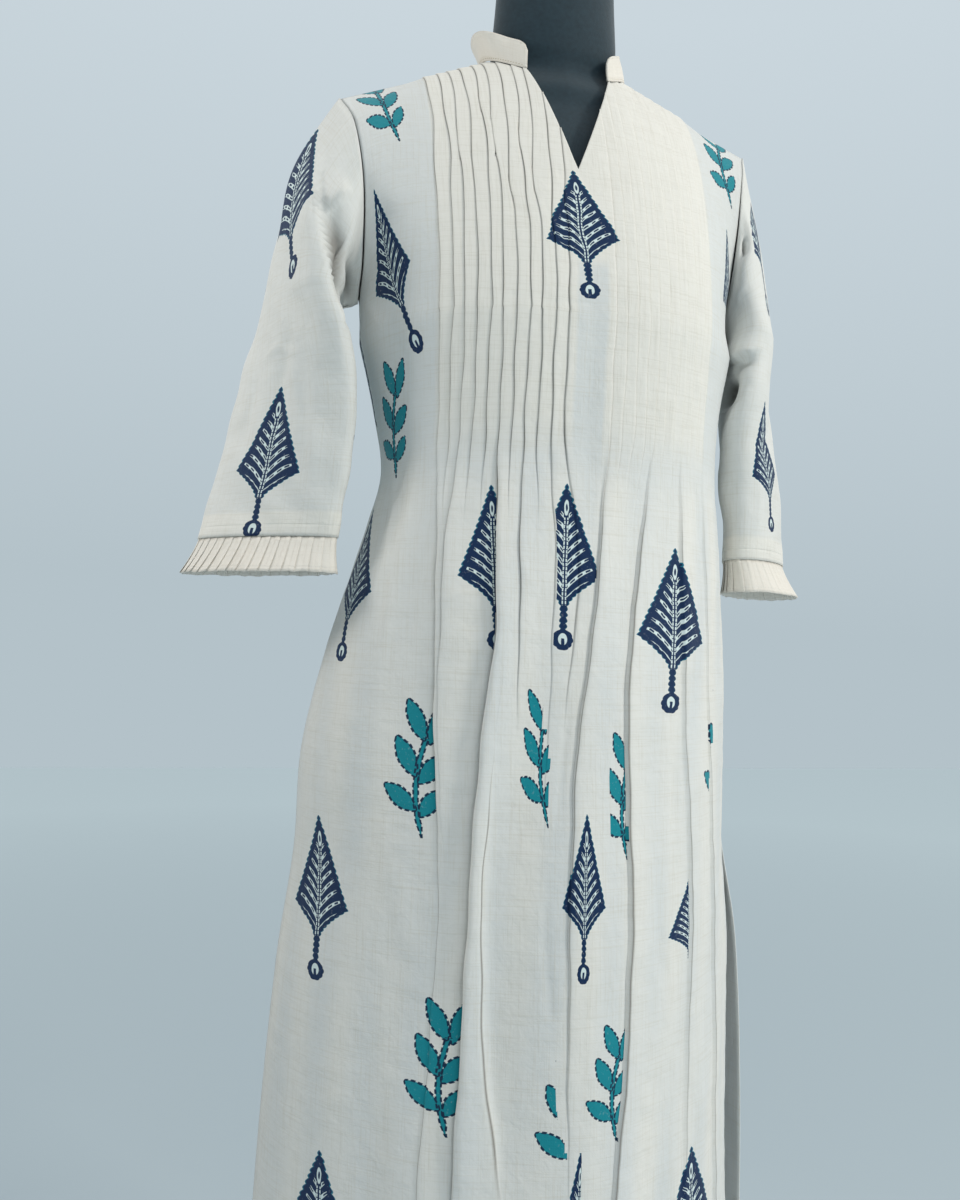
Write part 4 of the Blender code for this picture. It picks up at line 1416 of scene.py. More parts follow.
@dataclass
class FrontPanel(BodyPanel):
    """The front: eleven pin tucks each side of a plain strip, released below the waist into hanging folds."""

    def columns(self) -> list:
        """Every column between the side columns, as (tuck, share in to the next tuck, share of its lift)."""
        right = []
        for tuck in range(TUCKS_A_SIDE, 0, -1):
            right += [(-tuck, share, lift) for share, lift in TUCK_PROFILE]
        left = [(-tuck, share, lift) for tuck, share, lift in reversed(right)]
        return right + [(0, 0.0, 0.0)] + left

    def middle_distances(self) -> np.ndarray:
        """Signed distances of the tuck columns, above the release line."""
        return np.array([self.column_place(column, BUST) for column in self.columns()])

    def fold_place(self, tuck: int, z: float) -> float:
        """Signed place of a tuck's edge at a height, strayed a little from straight."""
        return tuck_line(tuck, z) + self.wobble(tuck, z)

    def column_place(self, column: tuple, z: float) -> float:
        """Where one column lies.

        Args:
            column: Its entry in columns().
            z: The height.

        Returns:
            Its signed distance from the centre line, along the cloth.
        """
        tuck, share, _ = column
        centre = (self.fold_place(-1, z) + self.fold_place(1, z)) / 2
        if tuck == 0:
            return centre
        hand = 1 if tuck > 0 else -1
        line = self.fold_place(tuck, z)
        if share < 0:
            outer = line + hand * TUCK_PITCH if abs(tuck) == TUCKS_A_SIDE else self.fold_place(tuck + hand, z)
            return lerp(line, outer, -share)
        inner = self.fold_place(tuck - hand, z) if abs(tuck) > 1 else centre
        return lerp(line, inner, share)

    def wobble(self, tuck: int, z: float) -> float:
        """How far a tuck's line strays from straight.

        Args:
            tuck: The tuck's number.
            z: The height.

        Returns:
            The distance, signed like a place.
        """
        draw = 0.45 * math.sin(z * 61 + tuck * 2.3) + 0.32 * math.sin(z * 117 + tuck * 4.1)
        near_release = 0.6 * math.exp(-(((z - 1.03) / 0.02) ** 2)) * math.sin(tuck * 5.0)
        return (draw + near_release) * MM

    def stray(self, share: float) -> np.ndarray:
        """How far the tuck columns stray above the bust line, most beside the point of the V.

        Args:
            share: The row's share of the way up.

        Returns:
            Each column's distance, signed like a place.
        """
        z = BUST + share * 0.235
        jog = float(ease((z - 1.185) / 0.030) * (1 - ease((z - 1.235) / 0.075)))
        result = []
        for tuck, _, _ in self.columns():
            by_v = -3.4 * math.exp(-(((tuck + 4) / 2.6) ** 2)) * jog
            by_v += 1.2 * jog * math.sin(tuck * 2.1 + z * 70)
            soft = by_v if tuck < 0 else 0.15 * by_v
            result.append(soft * MM * (1 - share**6) + self.wobble(tuck, z) * (1 - share))
        return np.array(result)

    def places_below(self, z: float) -> np.ndarray:
        """Where every column lies at a height up to the bust line.

        Args:
            z: The height.

        Returns:
            Signed distances from the centre line, along the cloth.
        """
        middle = np.array([self.column_place(column, z) for column in self.columns()])
        shares = np.arange(1, self.side_columns + 1) / self.side_columns
        reach = {h: body_quarter(z, self.facing, h).length - slit_gape(z) for h in Hand}
        right = -lerp(-middle[0], reach[Hand.RIGHT], shares)[::-1]
        left = lerp(middle[-1], reach[Hand.LEFT], shares)
        return np.concatenate([right, middle, left])

    def lifts(self, z: float, places: np.ndarray) -> np.ndarray:
        """Each fold steps up at its edge and eases back beyond it, with the cloth tucked under the edge.

        Args:
            z: The height.
            places: The columns' signed places.

        Returns:
            How far each column stands out.
        """
        if z >= RELEASE:
            return np.zeros(places.shape)
        total = np.zeros(places.shape)
        for tuck, (_, heights) in FRONT_FOLDS.items():
            beyond = places - self.fold_place(tuck, z) + 0.00005
            height = smooth_value(tuple(zip(FOLD_LEVELS, (*heights, 0))), z, 1) * FOLD_FULLNESS * MM
            height = min(0.0, height) if min(heights) < 0 else max(0.0, height)
            profile = np.exp(-((np.maximum(beyond, 0) / FOLD_REACH) ** 1.5))
            round_off = 1 - 0.35 * np.exp(-np.maximum(beyond, 0) / 0.0012)
            groove = -min(0.0020, 0.4 * abs(height)) * np.exp(np.minimum(beyond, 0) / 0.0010)
            total += np.where(beyond >= 0, height * profile * round_off, groove)
        return total

    def relief(self, z: float, share: float) -> np.ndarray:
        """Stitched tucks above the release line, fading below it.

        Args:
            z: The height.
            share: Above the bust line, the row's share of the way up.

        Returns:
            How far each column stands out.
        """
        fade = 1.0 if z >= RELEASE else max(0.0, 1 - (RELEASE - z) / 0.07)
        lifts = [lift * TUCK_LIFT * fade * (1 - 0.4 * share) for _, _, lift in self.columns()]
        side = np.zeros(self.side_columns)
        return np.concatenate([side, lifts, side])

    def cloth_layers(self, reliefs: np.ndarray) -> np.ndarray:
        """Tucks are three layers thick; below them the released folds still double the cloth in places.

        Args:
            reliefs: How far the tucks stand out; not used.

        Returns:
            How much cloth lies behind each point, from 0 to 1.
        """
        across, z = self.flat[..., 0], self.points[..., 2]
        tucked = CENTRE_STRIP_HALF + TUCK_PITCH * (TUCKS_A_SIDE + 0.2)
        by_place = (np.abs(across) < tucked) & (np.abs(across) > CENTRE_STRIP_HALF * 1.35)
        placket = np.abs(across) <= CENTRE_STRIP_HALF * 1.35
        stitched = by_place * ease((z - RELEASE + 0.03) / 0.05) + placket * ease((z - 1.150) / 0.012)
        free = 0.5 + 0.5 * ripple(across * 3.2, z * 0.35, 0.09, 11)
        below = np.clip(free, 0, 1) * ease((RELEASE - z) / 0.05)
        return np.clip(stitched + below * 0.8, 0, 1)

    def groove_shade(self) -> np.ndarray:
        """Painted shade in the groove of each tuck and of each fold that stands out, stronger on the wearer's
        right and fading towards the shoulder.
        """
        shade = np.zeros(self.points.shape[:2])
        z = self.points[:, self.points.shape[1] // 2, 2]
        for column, (tuck, share, _) in enumerate(self.columns()):
            if not -0.1 < share < 0.02 or tuck == 0:
                continue
            uneven = 0.62 + 0.38 * np.sin(z * 37 + tuck * 1.9) * np.sin(z * 83 + tuck * 4.3)
            uneven = uneven * (1 - 0.6 * ease((z - 1.22) / 0.10))
            # painted shade: tucks on the wearer's right are shaded more than those on the left
            stitched = uneven * (1.0 if tuck < 0 else 0.80) * ease((z - RELEASE + 0.05) / 0.05)
            hanging = np.zeros(z.shape)
            if tuck in FRONT_FOLDS:
                rows = tuple(zip(FOLD_LEVELS, (*FRONT_FOLDS[tuck][1], 0)))
                height = np.array([abs(smooth_value(rows, min(h, RELEASE), 1)) for h in z])
                hanging = np.clip(height / 2.6, 0, 0.85) * ease((RELEASE + 0.02 - z) / 0.03)
            shade[:, self.side_columns + column] = np.maximum(stitched, hanging) * (1 if share < 0 else 0.1)
        return shade


@dataclass
class BackPanel(BodyPanel):
    """The back: plain, with four soft folds that hang from the waist."""

    middle_half: float = 0.130
    middle_columns: int = 33

    def middle_distances(self) -> np.ndarray:
        """Signed distances of the middle columns, at the bust line."""
        return np.linspace(-self.middle_half, self.middle_half, 2 * self.middle_columns + 1)

    def places_below(self, z: float) -> np.ndarray:
        """Where every column lies at a height up to the bust line.

        Args:
            z: The height.

        Returns:
            Signed distances from the centre line, along the cloth.
        """
        shares = np.arange(1, self.side_columns + 1) / self.side_columns
        parts = {}
        for hand in Hand:
            reach = body_quarter(z, self.facing, hand).length - slit_gape(z)
            spread = reach / body_quarter(BUST, self.facing, hand).length if z < RELEASE else 1.0
            inner = np.linspace(0, self.middle_half * spread, self.middle_columns + 1)
            parts[hand] = np.concatenate([inner, lerp(inner[-1], reach, shares)])
        return np.concatenate([-parts[Hand.RIGHT][:0:-1], parts[Hand.LEFT]])

    def lifts(self, z: float, places: np.ndarray) -> np.ndarray:
        """Soft folds that grow from the waist to the hem.

        Args:
            z: The height.
            places: The columns' signed places.

        Returns:
            How far each column stands out.
        """
        share = max(0.0, (RELEASE - z) / (RELEASE - HEM))
        total = np.zeros(places.shape)
        for waist, hem, width, height in BACK_FOLDS:
            total += height * share**0.6 * np.exp(-(((places - lerp(waist, hem, share)) / width) ** 2))
        return total


def oval(
    rows: tuple, z: float, hand: Hand, shares: np.ndarray, sway: float = 0.0, grow: Number = 0.0
) -> np.ndarray:
    """Points round a sleeve's section.

    Args:
        rows: The sleeve's table of sections.
        z: The height.
        hand: Which sleeve.
        shares: Shares of the way round, from the outer side past the front.
        sway: How far outwards the section moves.
        grow: How much both half axes grow, one number or one for each share.

    Returns:
        One point for each share.
    """
    x, y, half_long, half_short, turn = (smooth_value(rows, z, column) for column in range(1, 6))
    angle, h = math.radians(turn), hand.value
    long_axis = np.array([-h * math.cos(angle), -math.sin(angle), 0])
    short_axis = np.array([h * math.sin(angle), -math.cos(angle), 0])
    steps = np.linspace(0, 2 * math.pi, 361)
    fine = np.stack([np.cos(steps) * half_short, np.sin(steps) * half_long], axis=1)
    lengths = lengths_along(fine)
    at = np.interp(np.mod(shares, 1.0) * lengths[-1], lengths, steps)
    short = np.cos(at) * (half_short + grow)
    long = np.sin(at) * (half_long + grow)
    centre = np.array([x + h * sway, y, z])
    return centre + short[:, None] * short_axis + long[:, None] * long_axis


@dataclass
class Sleeve(ClothPiece):
    """A set-in three-quarter sleeve, hanging flat and turning forwards on its way down."""

    hand: Hand = Hand.RIGHT
    sections: tuple = SLEEVE_RIGHT
    round_columns: int = 128
    cap_rows: int = 26
    arm_rows: int = 66

    def armhole(self, front: BodyPanel, back: BodyPanel, shares: np.ndarray) -> np.ndarray:
        """The sewn edges of both panels.

        Args:
            front: The front panel.
            back: The back panel.
            shares: Shares of the way round.

        Returns:
            One point for each share.
        """
        ways = np.linspace(0, 0.5, len(RING_SHARES))
        ring = np.empty((len(shares), 3))
        for panel, held in ((front, shares <= 0.5), (back, shares > 0.5)):
            edge = panel.edge(self.hand)
            rows = np.linspace(0, 1, len(edge))
            way = np.where(shares <= 0.5, shares, 1 - shares)[held]
            up = np.interp(way, ways, RING_SHARES)
            ring[held] = np.stack([np.interp(up, rows, edge[:, k]) for k in range(3)], axis=1)
        return ring

    def lay_out(self, front: BodyPanel, back: BodyPanel) -> None:
        """Fills the sleeve's grids, from the cuff seam up to the armhole.

        Args:
            front: The front panel, laid out.
            back: The back panel, laid out.
        """
        ways = np.linspace(-0.5, 0.5, self.round_columns + 1) * (-1 if self.hand is Hand.LEFT else 1)
        shares = np.mod(ways, 1.0)
        armhole = self.armhole(front, back, shares)
        top_z, low_z = self.sections[-1][0], self.sections[0][0]
        first = oval(self.sections, top_z, self.hand, shares)
        out = armhole - armhole.mean(axis=0)
        out[:, 0] = 0
        out = unit(unit(out) * 0.55 + np.array([self.hand.value * 0.8, 0, 0.15]))
        start = armhole + out * (SEAM_GAP + 0.0010)
        rows = [oval(self.sections, z, self.hand, shares) for z in np.linspace(low_z, top_z, self.arm_rows)]
        outer = np.maximum(0.0, np.cos(2 * math.pi * shares)) ** 0.7
        for share in np.linspace(0, 1, self.cap_rows + 1)[1:]:
            swell = SLEEVE_CAP_SWELL[self.hand.name] * math.sin(math.pi * (1 - share)) * outer
            ring = lerp(first, start, share)
            ring[:, 0] += self.hand.value * swell
            ring[:, 2] += swell * 0.8
            rows.append(ring)
        grid = np.array(rows)
        normals = grid_normals(grid, is_ring=True)
        steps = np.linalg.norm(np.diff(grid, axis=0), axis=2).mean(axis=1)
        along = low_z + np.concatenate([[0], np.cumsum(steps)])
        self.flat = np.stack(np.broadcast_arrays((ways * SLEEVE_ROUND)[None], along[:, None]), axis=-1)
        up = self.flat[..., 1]
        wrap = 2 * math.pi * ways
        rough = ripple(np.cos(wrap)[None] * 0.05, up + np.sin(wrap)[None] * 0.05, 0.06, self.seed) * 1.1
        rough = rough * MM + self.crease_lift()
        level = np.arange(len(grid))
        rough *= (ease(level / 8) * ease((len(grid) - 1 - level) / 5))[:, None]
        wall = np.full(rough.shape, WALL)
        thinning = self.cap_rows // 2
        wall[-thinning:] *= np.linspace(1, 0.0, thinning)[:, None]
        self.points = grid + normals * (wall + rough)[..., None]
        # the cuff seam's turning is layered cloth; the 0.35 over the whole sleeve is painted light, making
        # the sleeves lighter than the body's cloth
        self.layers = np.clip(ease((0.022 - (up - low_z)) / 0.002), 0, 1) * 0.6 + 0.35
        self.seam = np.abs(up - low_z - 0.0085)
        # painted shade in the sleeve's deepest folds
        self.shade = self.deep_shade()


PLEAT_PROFILE = (
    # share of the pitch, lift in mm: out along the face, back under it, and on to the next face
    (0.00, 0.40),
    (0.22, 0.80),
    (0.45, 1.15),
    (0.70, 1.55),
    (0.90, 1.85),
    (0.99, 1.86),
    (1.02, 1.62),
    (0.94, 1.30),
    (0.74, 1.10),
    (0.58, 0.92),
    (0.55, 0.72),
    (0.62, 0.52),
    (0.82, 0.40),
)


@dataclass
class CuffFrill(ClothPiece):
    """A knife-pleated frill below the cuff seam, with real underlaps."""

    hand: Hand = Hand.RIGHT
    sections: tuple = SLEEVE_RIGHT
    drop_rows: int = 9

    def lay_out(self) -> None:
        """Fills the frill's grids, from its hem up to the seam."""
        draw = np.random.default_rng(self.seed)
        shares, lifts = [], []
        for pleat in range(FRILL_PLEATS):
            lean, proud = draw.uniform(-0.05, 0.05), draw.uniform(0.75, 1.15)
            for share, lift in PLEAT_PROFILE:
                shares.append((pleat + share + lean * (0.1 < share < 1.1)) / FRILL_PLEATS)
                lifts.append(lift * proud)
        shares, lifts = np.array(shares + [1.0]), np.array(lifts + [lifts[0]])
        uneven = np.interp(shares, np.linspace(0, 1, 65), np.append(draw.uniform(-1, 1, 64), 0.0))
        if self.hand is Hand.LEFT:
            shares = 1 - shares
        seam_z = self.sections[0][0]
        rows, flat = [], []
        for down in np.linspace(1, 0, self.drop_rows):
            spread = FRILL_FLARE * (0.25 * down + 0.75 * down**1.6)
            grow = spread + 0.0004 + lifts * MM * lerp(0.30, 1.0, down) + uneven * 0.0007 * down
            ring = oval(self.sections, seam_z, self.hand, shares, FRILL_SWAY * down, grow)
            ring[:, 2] -= SEAM_GAP + FRILL_LENGTH * down + uneven * 0.0006 * down
            rows.append(ring)
            flat.append(np.stack([np.arange(len(shares)) * 0.0014, 0 * shares + down * FRILL_LENGTH], axis=1))
        self.points, self.flat = np.array(rows), np.array(flat)
        self.layers = np.ones(self.points.shape[:2])
        self.seam = np.abs(self.flat[..., 1] - FRILL_LENGTH + 0.003)


@dataclass
class StandCollar(ClothPiece):
    """A standing band of two layers, open at the front, with rounded top corners."""

    half_columns: int = 70
    rows: int = 12

    def neckline(self, x: np.ndarray, facing: Facing) -> np.ndarray:
        """Where the band is sewn to a panel.

        Args:
            x: Distances from the centre line.
            facing: The front or the back.

        Returns:
            Points on the outside of the panel's cloth, with X as a distance from the centre.
        """
        quarter = body_quarter(BUST, facing, Hand.LEFT)
        turns = top_turns(x, facing, quarter)
        point = chest_points(x, turns, facing, quarter)
        before, after = (chest_points(x + step, turns, facing, quarter) for step in (-0.002, 0.002))
        normal = unit(np.cross(after - before, point - chest_points(x, turns - 0.02, facing, quarter)))
        return point + normal * (-facing.value) * (WALL + 0.0006)

    def lay_out(self) -> None:
        """Fills the band's grids."""
        front = self.neckline(np.linspace(COLLAR_FRONT_HALF, NECK_HALF - 0.0005, 30), Facing.FRONT)
        around = (NECK_HALF - 0.001) * np.sin(np.linspace(math.pi / 2 * 7 / 8, 0, 40))
        half = np.concatenate([front, self.neckline(around, Facing.BACK)])
        line = np.concatenate([half * (-1, 1, 1), half[-2::-1]])
        coarse = lengths_along(line)
        even = np.linspace(0, coarse[-1], 2 * self.half_columns + 1)
        line = np.stack([np.interp(even, coarse, line[:, k]) for k in range(3)], axis=1)
        for _ in range(6):
            line[1:-1] = (line[:-2] + 2 * line[1:-1] + line[2:]) / 4
        along = np.gradient(line, axis=0)
        out = unit(np.stack([-along[:, 1], along[:, 0], 0 * even], axis=1))
        out *= np.sign((out[:, :2] * line[:, :2]).sum(axis=1))[:, None]
        end = np.minimum(even, even[-1] - even)
        corner = np.clip(1 - end / COLLAR_CORNER, 0, 1)
        height = COLLAR_HEIGHT - COLLAR_CORNER * 0.7 * (1 - np.sqrt(1 - corner**2))
        height = height + 0.0006 * np.sin(even / 0.031)
        aslant = lerp(-0.010, 0.004, ease((even / even[-1] - 0.3) / 0.4))
        lean = COLLAR_LEAN + aslant * ease((end - 0.018) / 0.030)
        rows, flat = [], []
        for share in np.linspace(0, 1, self.rows):
            soft = 0.0009 * math.sin(share * math.pi) * np.sin(even / 0.017)
            base = line - out * (lean * share - soft)[:, None]
            base[:, 2] += SEAM_GAP * 2 + height * share
            rows.append(base)
            flat.append(np.stack([even, height * share], axis=1))
        self.points, self.flat = np.array(rows)[:, ::-1], np.array(flat)[:, ::-1]
        if np.cross(self.points[0, 1] - self.points[0, 0], (0, 0, 1)) @ out[-1] < 0:
            self.flip()
        self.layers = np.ones(self.points.shape[:2])
        up = self.flat[..., 1]
        self.seam = np.minimum(np.abs(up - 0.0022), np.abs(up - COLLAR_HEIGHT + 0.0025))


# Form, stand and studio


@dataclass
class DressForm:
    """The limbless form under its jersey, from the hip up to the neck."""

    around: int = 128
    levels: int = 150

    def build(self) -> None:
        """Makes the form's closed skin."""
        bm = bmesh.new()
        bmesh.ops.create_grid(bm, x_segments=self.around, y_segments=self.levels, size=1.0)
        low, high = FORM_SECTIONS[0][0], FORM_SECTIONS[-1][0]
        heights = [lerp(low, high, k / self.levels) for k in range(self.levels + 1)]
        sections = [[smooth_value(FORM_SECTIONS, z, c) for c in (1, 2, 3, 4)] for z in heights]
        for vert in bm.verts:
            angle = (vert.co.x + 1) * math.pi
            level = round((vert.co.y + 1) / 2 * self.levels)
            half, front, back, squareness = sections[level]
            c, s = math.cos(angle), math.sin(angle)
            depth = front if s < 0 else back
            x = half * math.copysign(abs(c) ** (2 / squareness), c)
            y = depth * math.copysign(abs(s) ** (2 / squareness), s)
            vert.co = (x, y, heights[level])
        bmesh.ops.remove_doubles(bm, verts=bm.verts, dist=1e-5)
        ends = [edge for edge in bm.edges if edge.is_boundary]
        bmesh.ops.holes_fill(bm, edges=ends, sides=0)
        bmesh.ops.recalc_face_normals(bm, faces=bm.faces)
        add_piece("form_skin", bm, JERSEY, "dress_form", 40)


def add_piece(
    name: str, bm: bmesh.types.BMesh, finish: Finish, node: str, sharp_angle: float
) -> None:
    """Makes a rigid piece from a bmesh and ties it to the frame.

    Args:
        name: The piece's name.
        bm: Its mesh, which is freed.
        finish: Its finish.
        node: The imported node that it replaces.
        sharp_angle: Edges sharper than this, in degrees, stay crisp.
    """
    piece = add_object(name, bm)
    piece.data.shade_smooth()
    piece.data.set_sharp_from_angle(angle=math.radians(sharp_angle))
    piece.data.materials.append(finish.material())
    tie(piece, node)


@dataclass
class Stand:
    """The neck cap, the pole and the round base, turned; the cap in moulded plastic, the pole and the base
    powder coated.
    """

    base_radius: float = 0.165
    base_thick: float = 0.012
    hub_radius: float = 0.026
    hub_height: float = 0.040
    pole_radius: float = 0.0125
    cap_half_x: float = 0.0510
    cap_half_y: float = 0.0402
    cap_thick: float = 0.010
    steps: int = 96

    def turned(self, profile: tuple, bevel: float, squash: float = 1.0) -> bmesh.types.BMesh:
        """A closed solid of revolution with softened edges.

        Args:
            profile: (radius, height) pairs that start and end on the axis.
            bevel: The width of its bevels.
            squash: How much narrower it is from front to back.

        Returns:
            Its mesh.
        """
        bm = bmesh.new()
        verts = [bm.verts.new((radius, 0, z)) for radius, z in profile]
        edges = [bm.edges.new(pair) for pair in zip(verts, verts[1:])]
        around = {"axis": (0, 0, 1), "angle": 2 * math.pi, "steps": self.steps, "use_merge": True}
        bmesh.ops.spin(bm, geom=verts + edges, **around)
        bmesh.ops.remove_doubles(bm, verts=bm.verts, dist=1e-6)
        bmesh.ops.recalc_face_normals(bm, faces=bm.faces)
        turned_edges = [e for e in bm.edges if len(e.link_faces) == 2 and e.calc_face_angle() > 0.6]
        softened = {"offset": bevel, "segments": 3, "profile": 0.5, "affect": "EDGES", "material": -1}
        bmesh.ops.bevel(bm, geom=turned_edges, **softened)
        for vert in bm.verts:
            vert.co.y *= squash
        return bm

    def build(self) -> None:
        """Makes the three pieces."""
        low, top = FORM_SECTIONS[0][0], FORM_SECTIONS[-1][0] + SEAM_GAP
        cap = (
            (0, top),
            (self.cap_half_x, top),
            (self.cap_half_x, top + self.cap_thick * 0.7),
            (self.cap_half_x - self.cap_thick * 0.35, top + self.cap_thick - SEAM_GAP),
            (0, top + self.cap_thick - SEAM_GAP),
        )
        pole = (
            (0, self.hub_height + SEAM_GAP),
            (self.pole_radius, self.hub_height + SEAM_GAP),
            (self.pole_radius, low - SEAM_GAP),
            (0, low - SEAM_GAP),
        )
        base = (
            (0, 0),
            (self.base_radius, 0),
            (self.base_radius, self.base_thick * 0.6),
            (self.base_radius - 0.004, self.base_thick),
            (self.hub_radius + 0.006, self.base_thick + 0.002),
            (self.hub_radius, self.base_thick + 0.010),
            (self.hub_radius - 0.006, self.hub_height),
            (0, self.hub_height),
        )
        squash = self.cap_half_y / self.cap_half_x
        add_piece("cap", self.turned(cap, 0.0010, squash), CAP_PLASTIC, "neck_cap", 35)
        add_piece("pole", self.turned(pole, 0.0008), STAND_STEEL, "stand_pole", 35)
        add_piece("base", self.turned(base, 0.0012), STAND_STEEL, "stand_base", 35)


@dataclass
class Studio:
    """A plain pale floor, soft light and the camera at the photograph's angle."""

    camera_place: tuple = (-0.250, -0.852, 0.859)
    azimuth: float = -13.0
    pitch: float = 2.5
    roll: float = 1.7
    focal_share: float = 1008 / 1200
    backdrop: str = "#B4C2C9"
    backdrop_top: str = "#CAD6DD"
    overhead: str = "#FFFFFF"
    dark_side: str = "#5F5A4E"
    light_side: str = "#F4F4F0"
    floor_near: str = "#B4C2C9"
    floor_far: str = "#CEDDE2"

    def build(self) -> None:
        """Sets the floor, lights, world and camera."""
        self.floor()
        self.world()
        # name, place, target, size, power, colour
        self.area("key", (1.50, -1.60, 2.05), (0.0, 0.0, 0.90), 0.45, 21.0, "#FFF7EC")
        self.area("fill", (0.20, -1.95, 1.35), (0.0, 0.0, 0.80), 0.9, 4.0, "#FAF8F4")
        self.area("window", (-1.05, 0.05, 1.45), (-0.25, 0.0, 1.05), 0.3, 4.2, "#FFFBF6")
        self.camera()

    def floor(self) -> None:
        """A wide pale floor, which isn't part of the object, painted lighter far out and darker near the
        form.
        """
        bm = bmesh.new()
        bmesh.ops.create_grid(bm, x_segments=2, y_segments=2, size=6.0)
        floor = add_object("floor", bm)
        material = bpy.data.materials.new("studio_floor")
        material.use_nodes = True
        tree = material.node_tree
        shader = tree.nodes["Principled BSDF"]
        place = add_node(tree, "ShaderNodeTexCoord")
        reach = add_node(tree, "ShaderNodeVectorMath", {"operation": "LENGTH"}, {0: place.outputs["Object"]})
        # painted light: the floor grows lighter with distance to meet the lit backdrop at the horizon, and
        # stays darker near the form
        share = ((Signal(tree, reach.outputs["Value"]) - 1.0) / 3.5).clamped()
        colour = coated(tree, linear(self.floor_near), ((share, self.floor_far),))
        tree.links.new(colour, shader.inputs["Base Color"])
        shader.inputs["Roughness"].default_value = 0.9
        floor.data.materials.append(material)
        floor.location.z = -0.0005

    def world(self) -> None:
        """Soft pale light that grows from the horizon up, as from a large window above."""
        world = bpy.data.worlds.new("studio")
        world.use_nodes = True
        tree = world.node_tree
        place = add_node(tree, "ShaderNodeTexCoord")
        parts = add_node(tree, "ShaderNodeSeparateXYZ", inputs={0: place.outputs["Generated"]})
        x, z = (Signal(tree, parts.outputs[k]) for k in (0, 2))
        # height of the direction where each tone starts, over how much of it, and the tone
        rising = ((0.05, 0.5, self.backdrop_top), (0.6, 0.35, self.overhead))
        coats = [(((z + x * 0.06 - start) / span).clamped(), tone) for start, span, tone in rising]
        seen = coated(tree, linear(self.backdrop), coats)
        level = ((z * -1 + 0.9) / 0.4).clamped()
        # the room's dark side and its window side, which light the cloth but aren't seen
        sides = ((-1, 0.35, 0.4, self.dark_side), (1, 0.68, 0.2, self.light_side))
        coats = [(((x * sign - start) / span).clamped() * level, tone) for sign, start, span, tone in sides]
        path = add_node(tree, "ShaderNodeLightPath")
        colour = coated(tree, seen, (*coats, (path.outputs["Is Camera Ray"], seen)))
        tree.links.new(colour, tree.nodes["Background"].inputs["Color"])
        scene = bpy.context.scene
        scene.world = world
        scene.view_settings.view_transform = "Standard"

    def area(self, name: str, place: tuple, target: tuple, size: float, power: float, colour: str) -> None:
        """One soft square light.

        Args:
            name: Its name.
            place: Where it stands.
            target: The point that it is aimed at.
            size: The length of its side.
            power: Its power in watts.
            colour: Its colour.
        """
        data = bpy.data.lights.new(name, "AREA")
        data.shape, data.size, data.energy = "SQUARE", size, power
        data.color = linear(colour)[:3]
        light = bpy.data.objects.new(name, data)
        light.location = place
        light.rotation_mode = "QUATERNION"
        light.rotation_quaternion = (Vector(target) - Vector(place)).to_track_quat("-Z", "Y")
        bpy.context.scene.collection.objects.link(light)

    def camera(self) -> None:
        """The camera, fitted to the photograph."""
        data = bpy.data.cameras.new("camera")
        data.sensor_fit, data.sensor_width = "AUTO", 36.0
        data.lens = 36.0 * self.focal_share
        data.clip_start, data.clip_end = 0.02, 60.0
        camera = bpy.data.objects.new("camera", data)
        turn, pitch, roll = (math.radians(a) for a in (self.azimuth, self.pitch, self.roll))
        look = Vector((math.sin(-turn) * math.cos(pitch), math.cos(turn) * math.cos(pitch), math.sin(pitch)))
        right = Vector((look.y, -look.x, 0)).normalized()
        up = right.cross(look)
        rolled = right * math.cos(roll) + up * math.sin(roll)
        rolled_up = up * math.cos(roll) - right * math.sin(roll)
        turned = Matrix((rolled, rolled_up, -look)).transposed().to_4x4()
        camera.matrix_world = Matrix.Translation(self.camera_place) @ turned
        bpy.context.scene.collection.objects.link(camera)
        bpy.context.scene.camera = camera


# What the photograph shows: prints and creases in flat coordinates

KITE, SPRIG = MotifKind.KITE, MotifKind.SPRIG
RIDGE, STEP = CreaseShape.RIDGE, CreaseShape.STEP

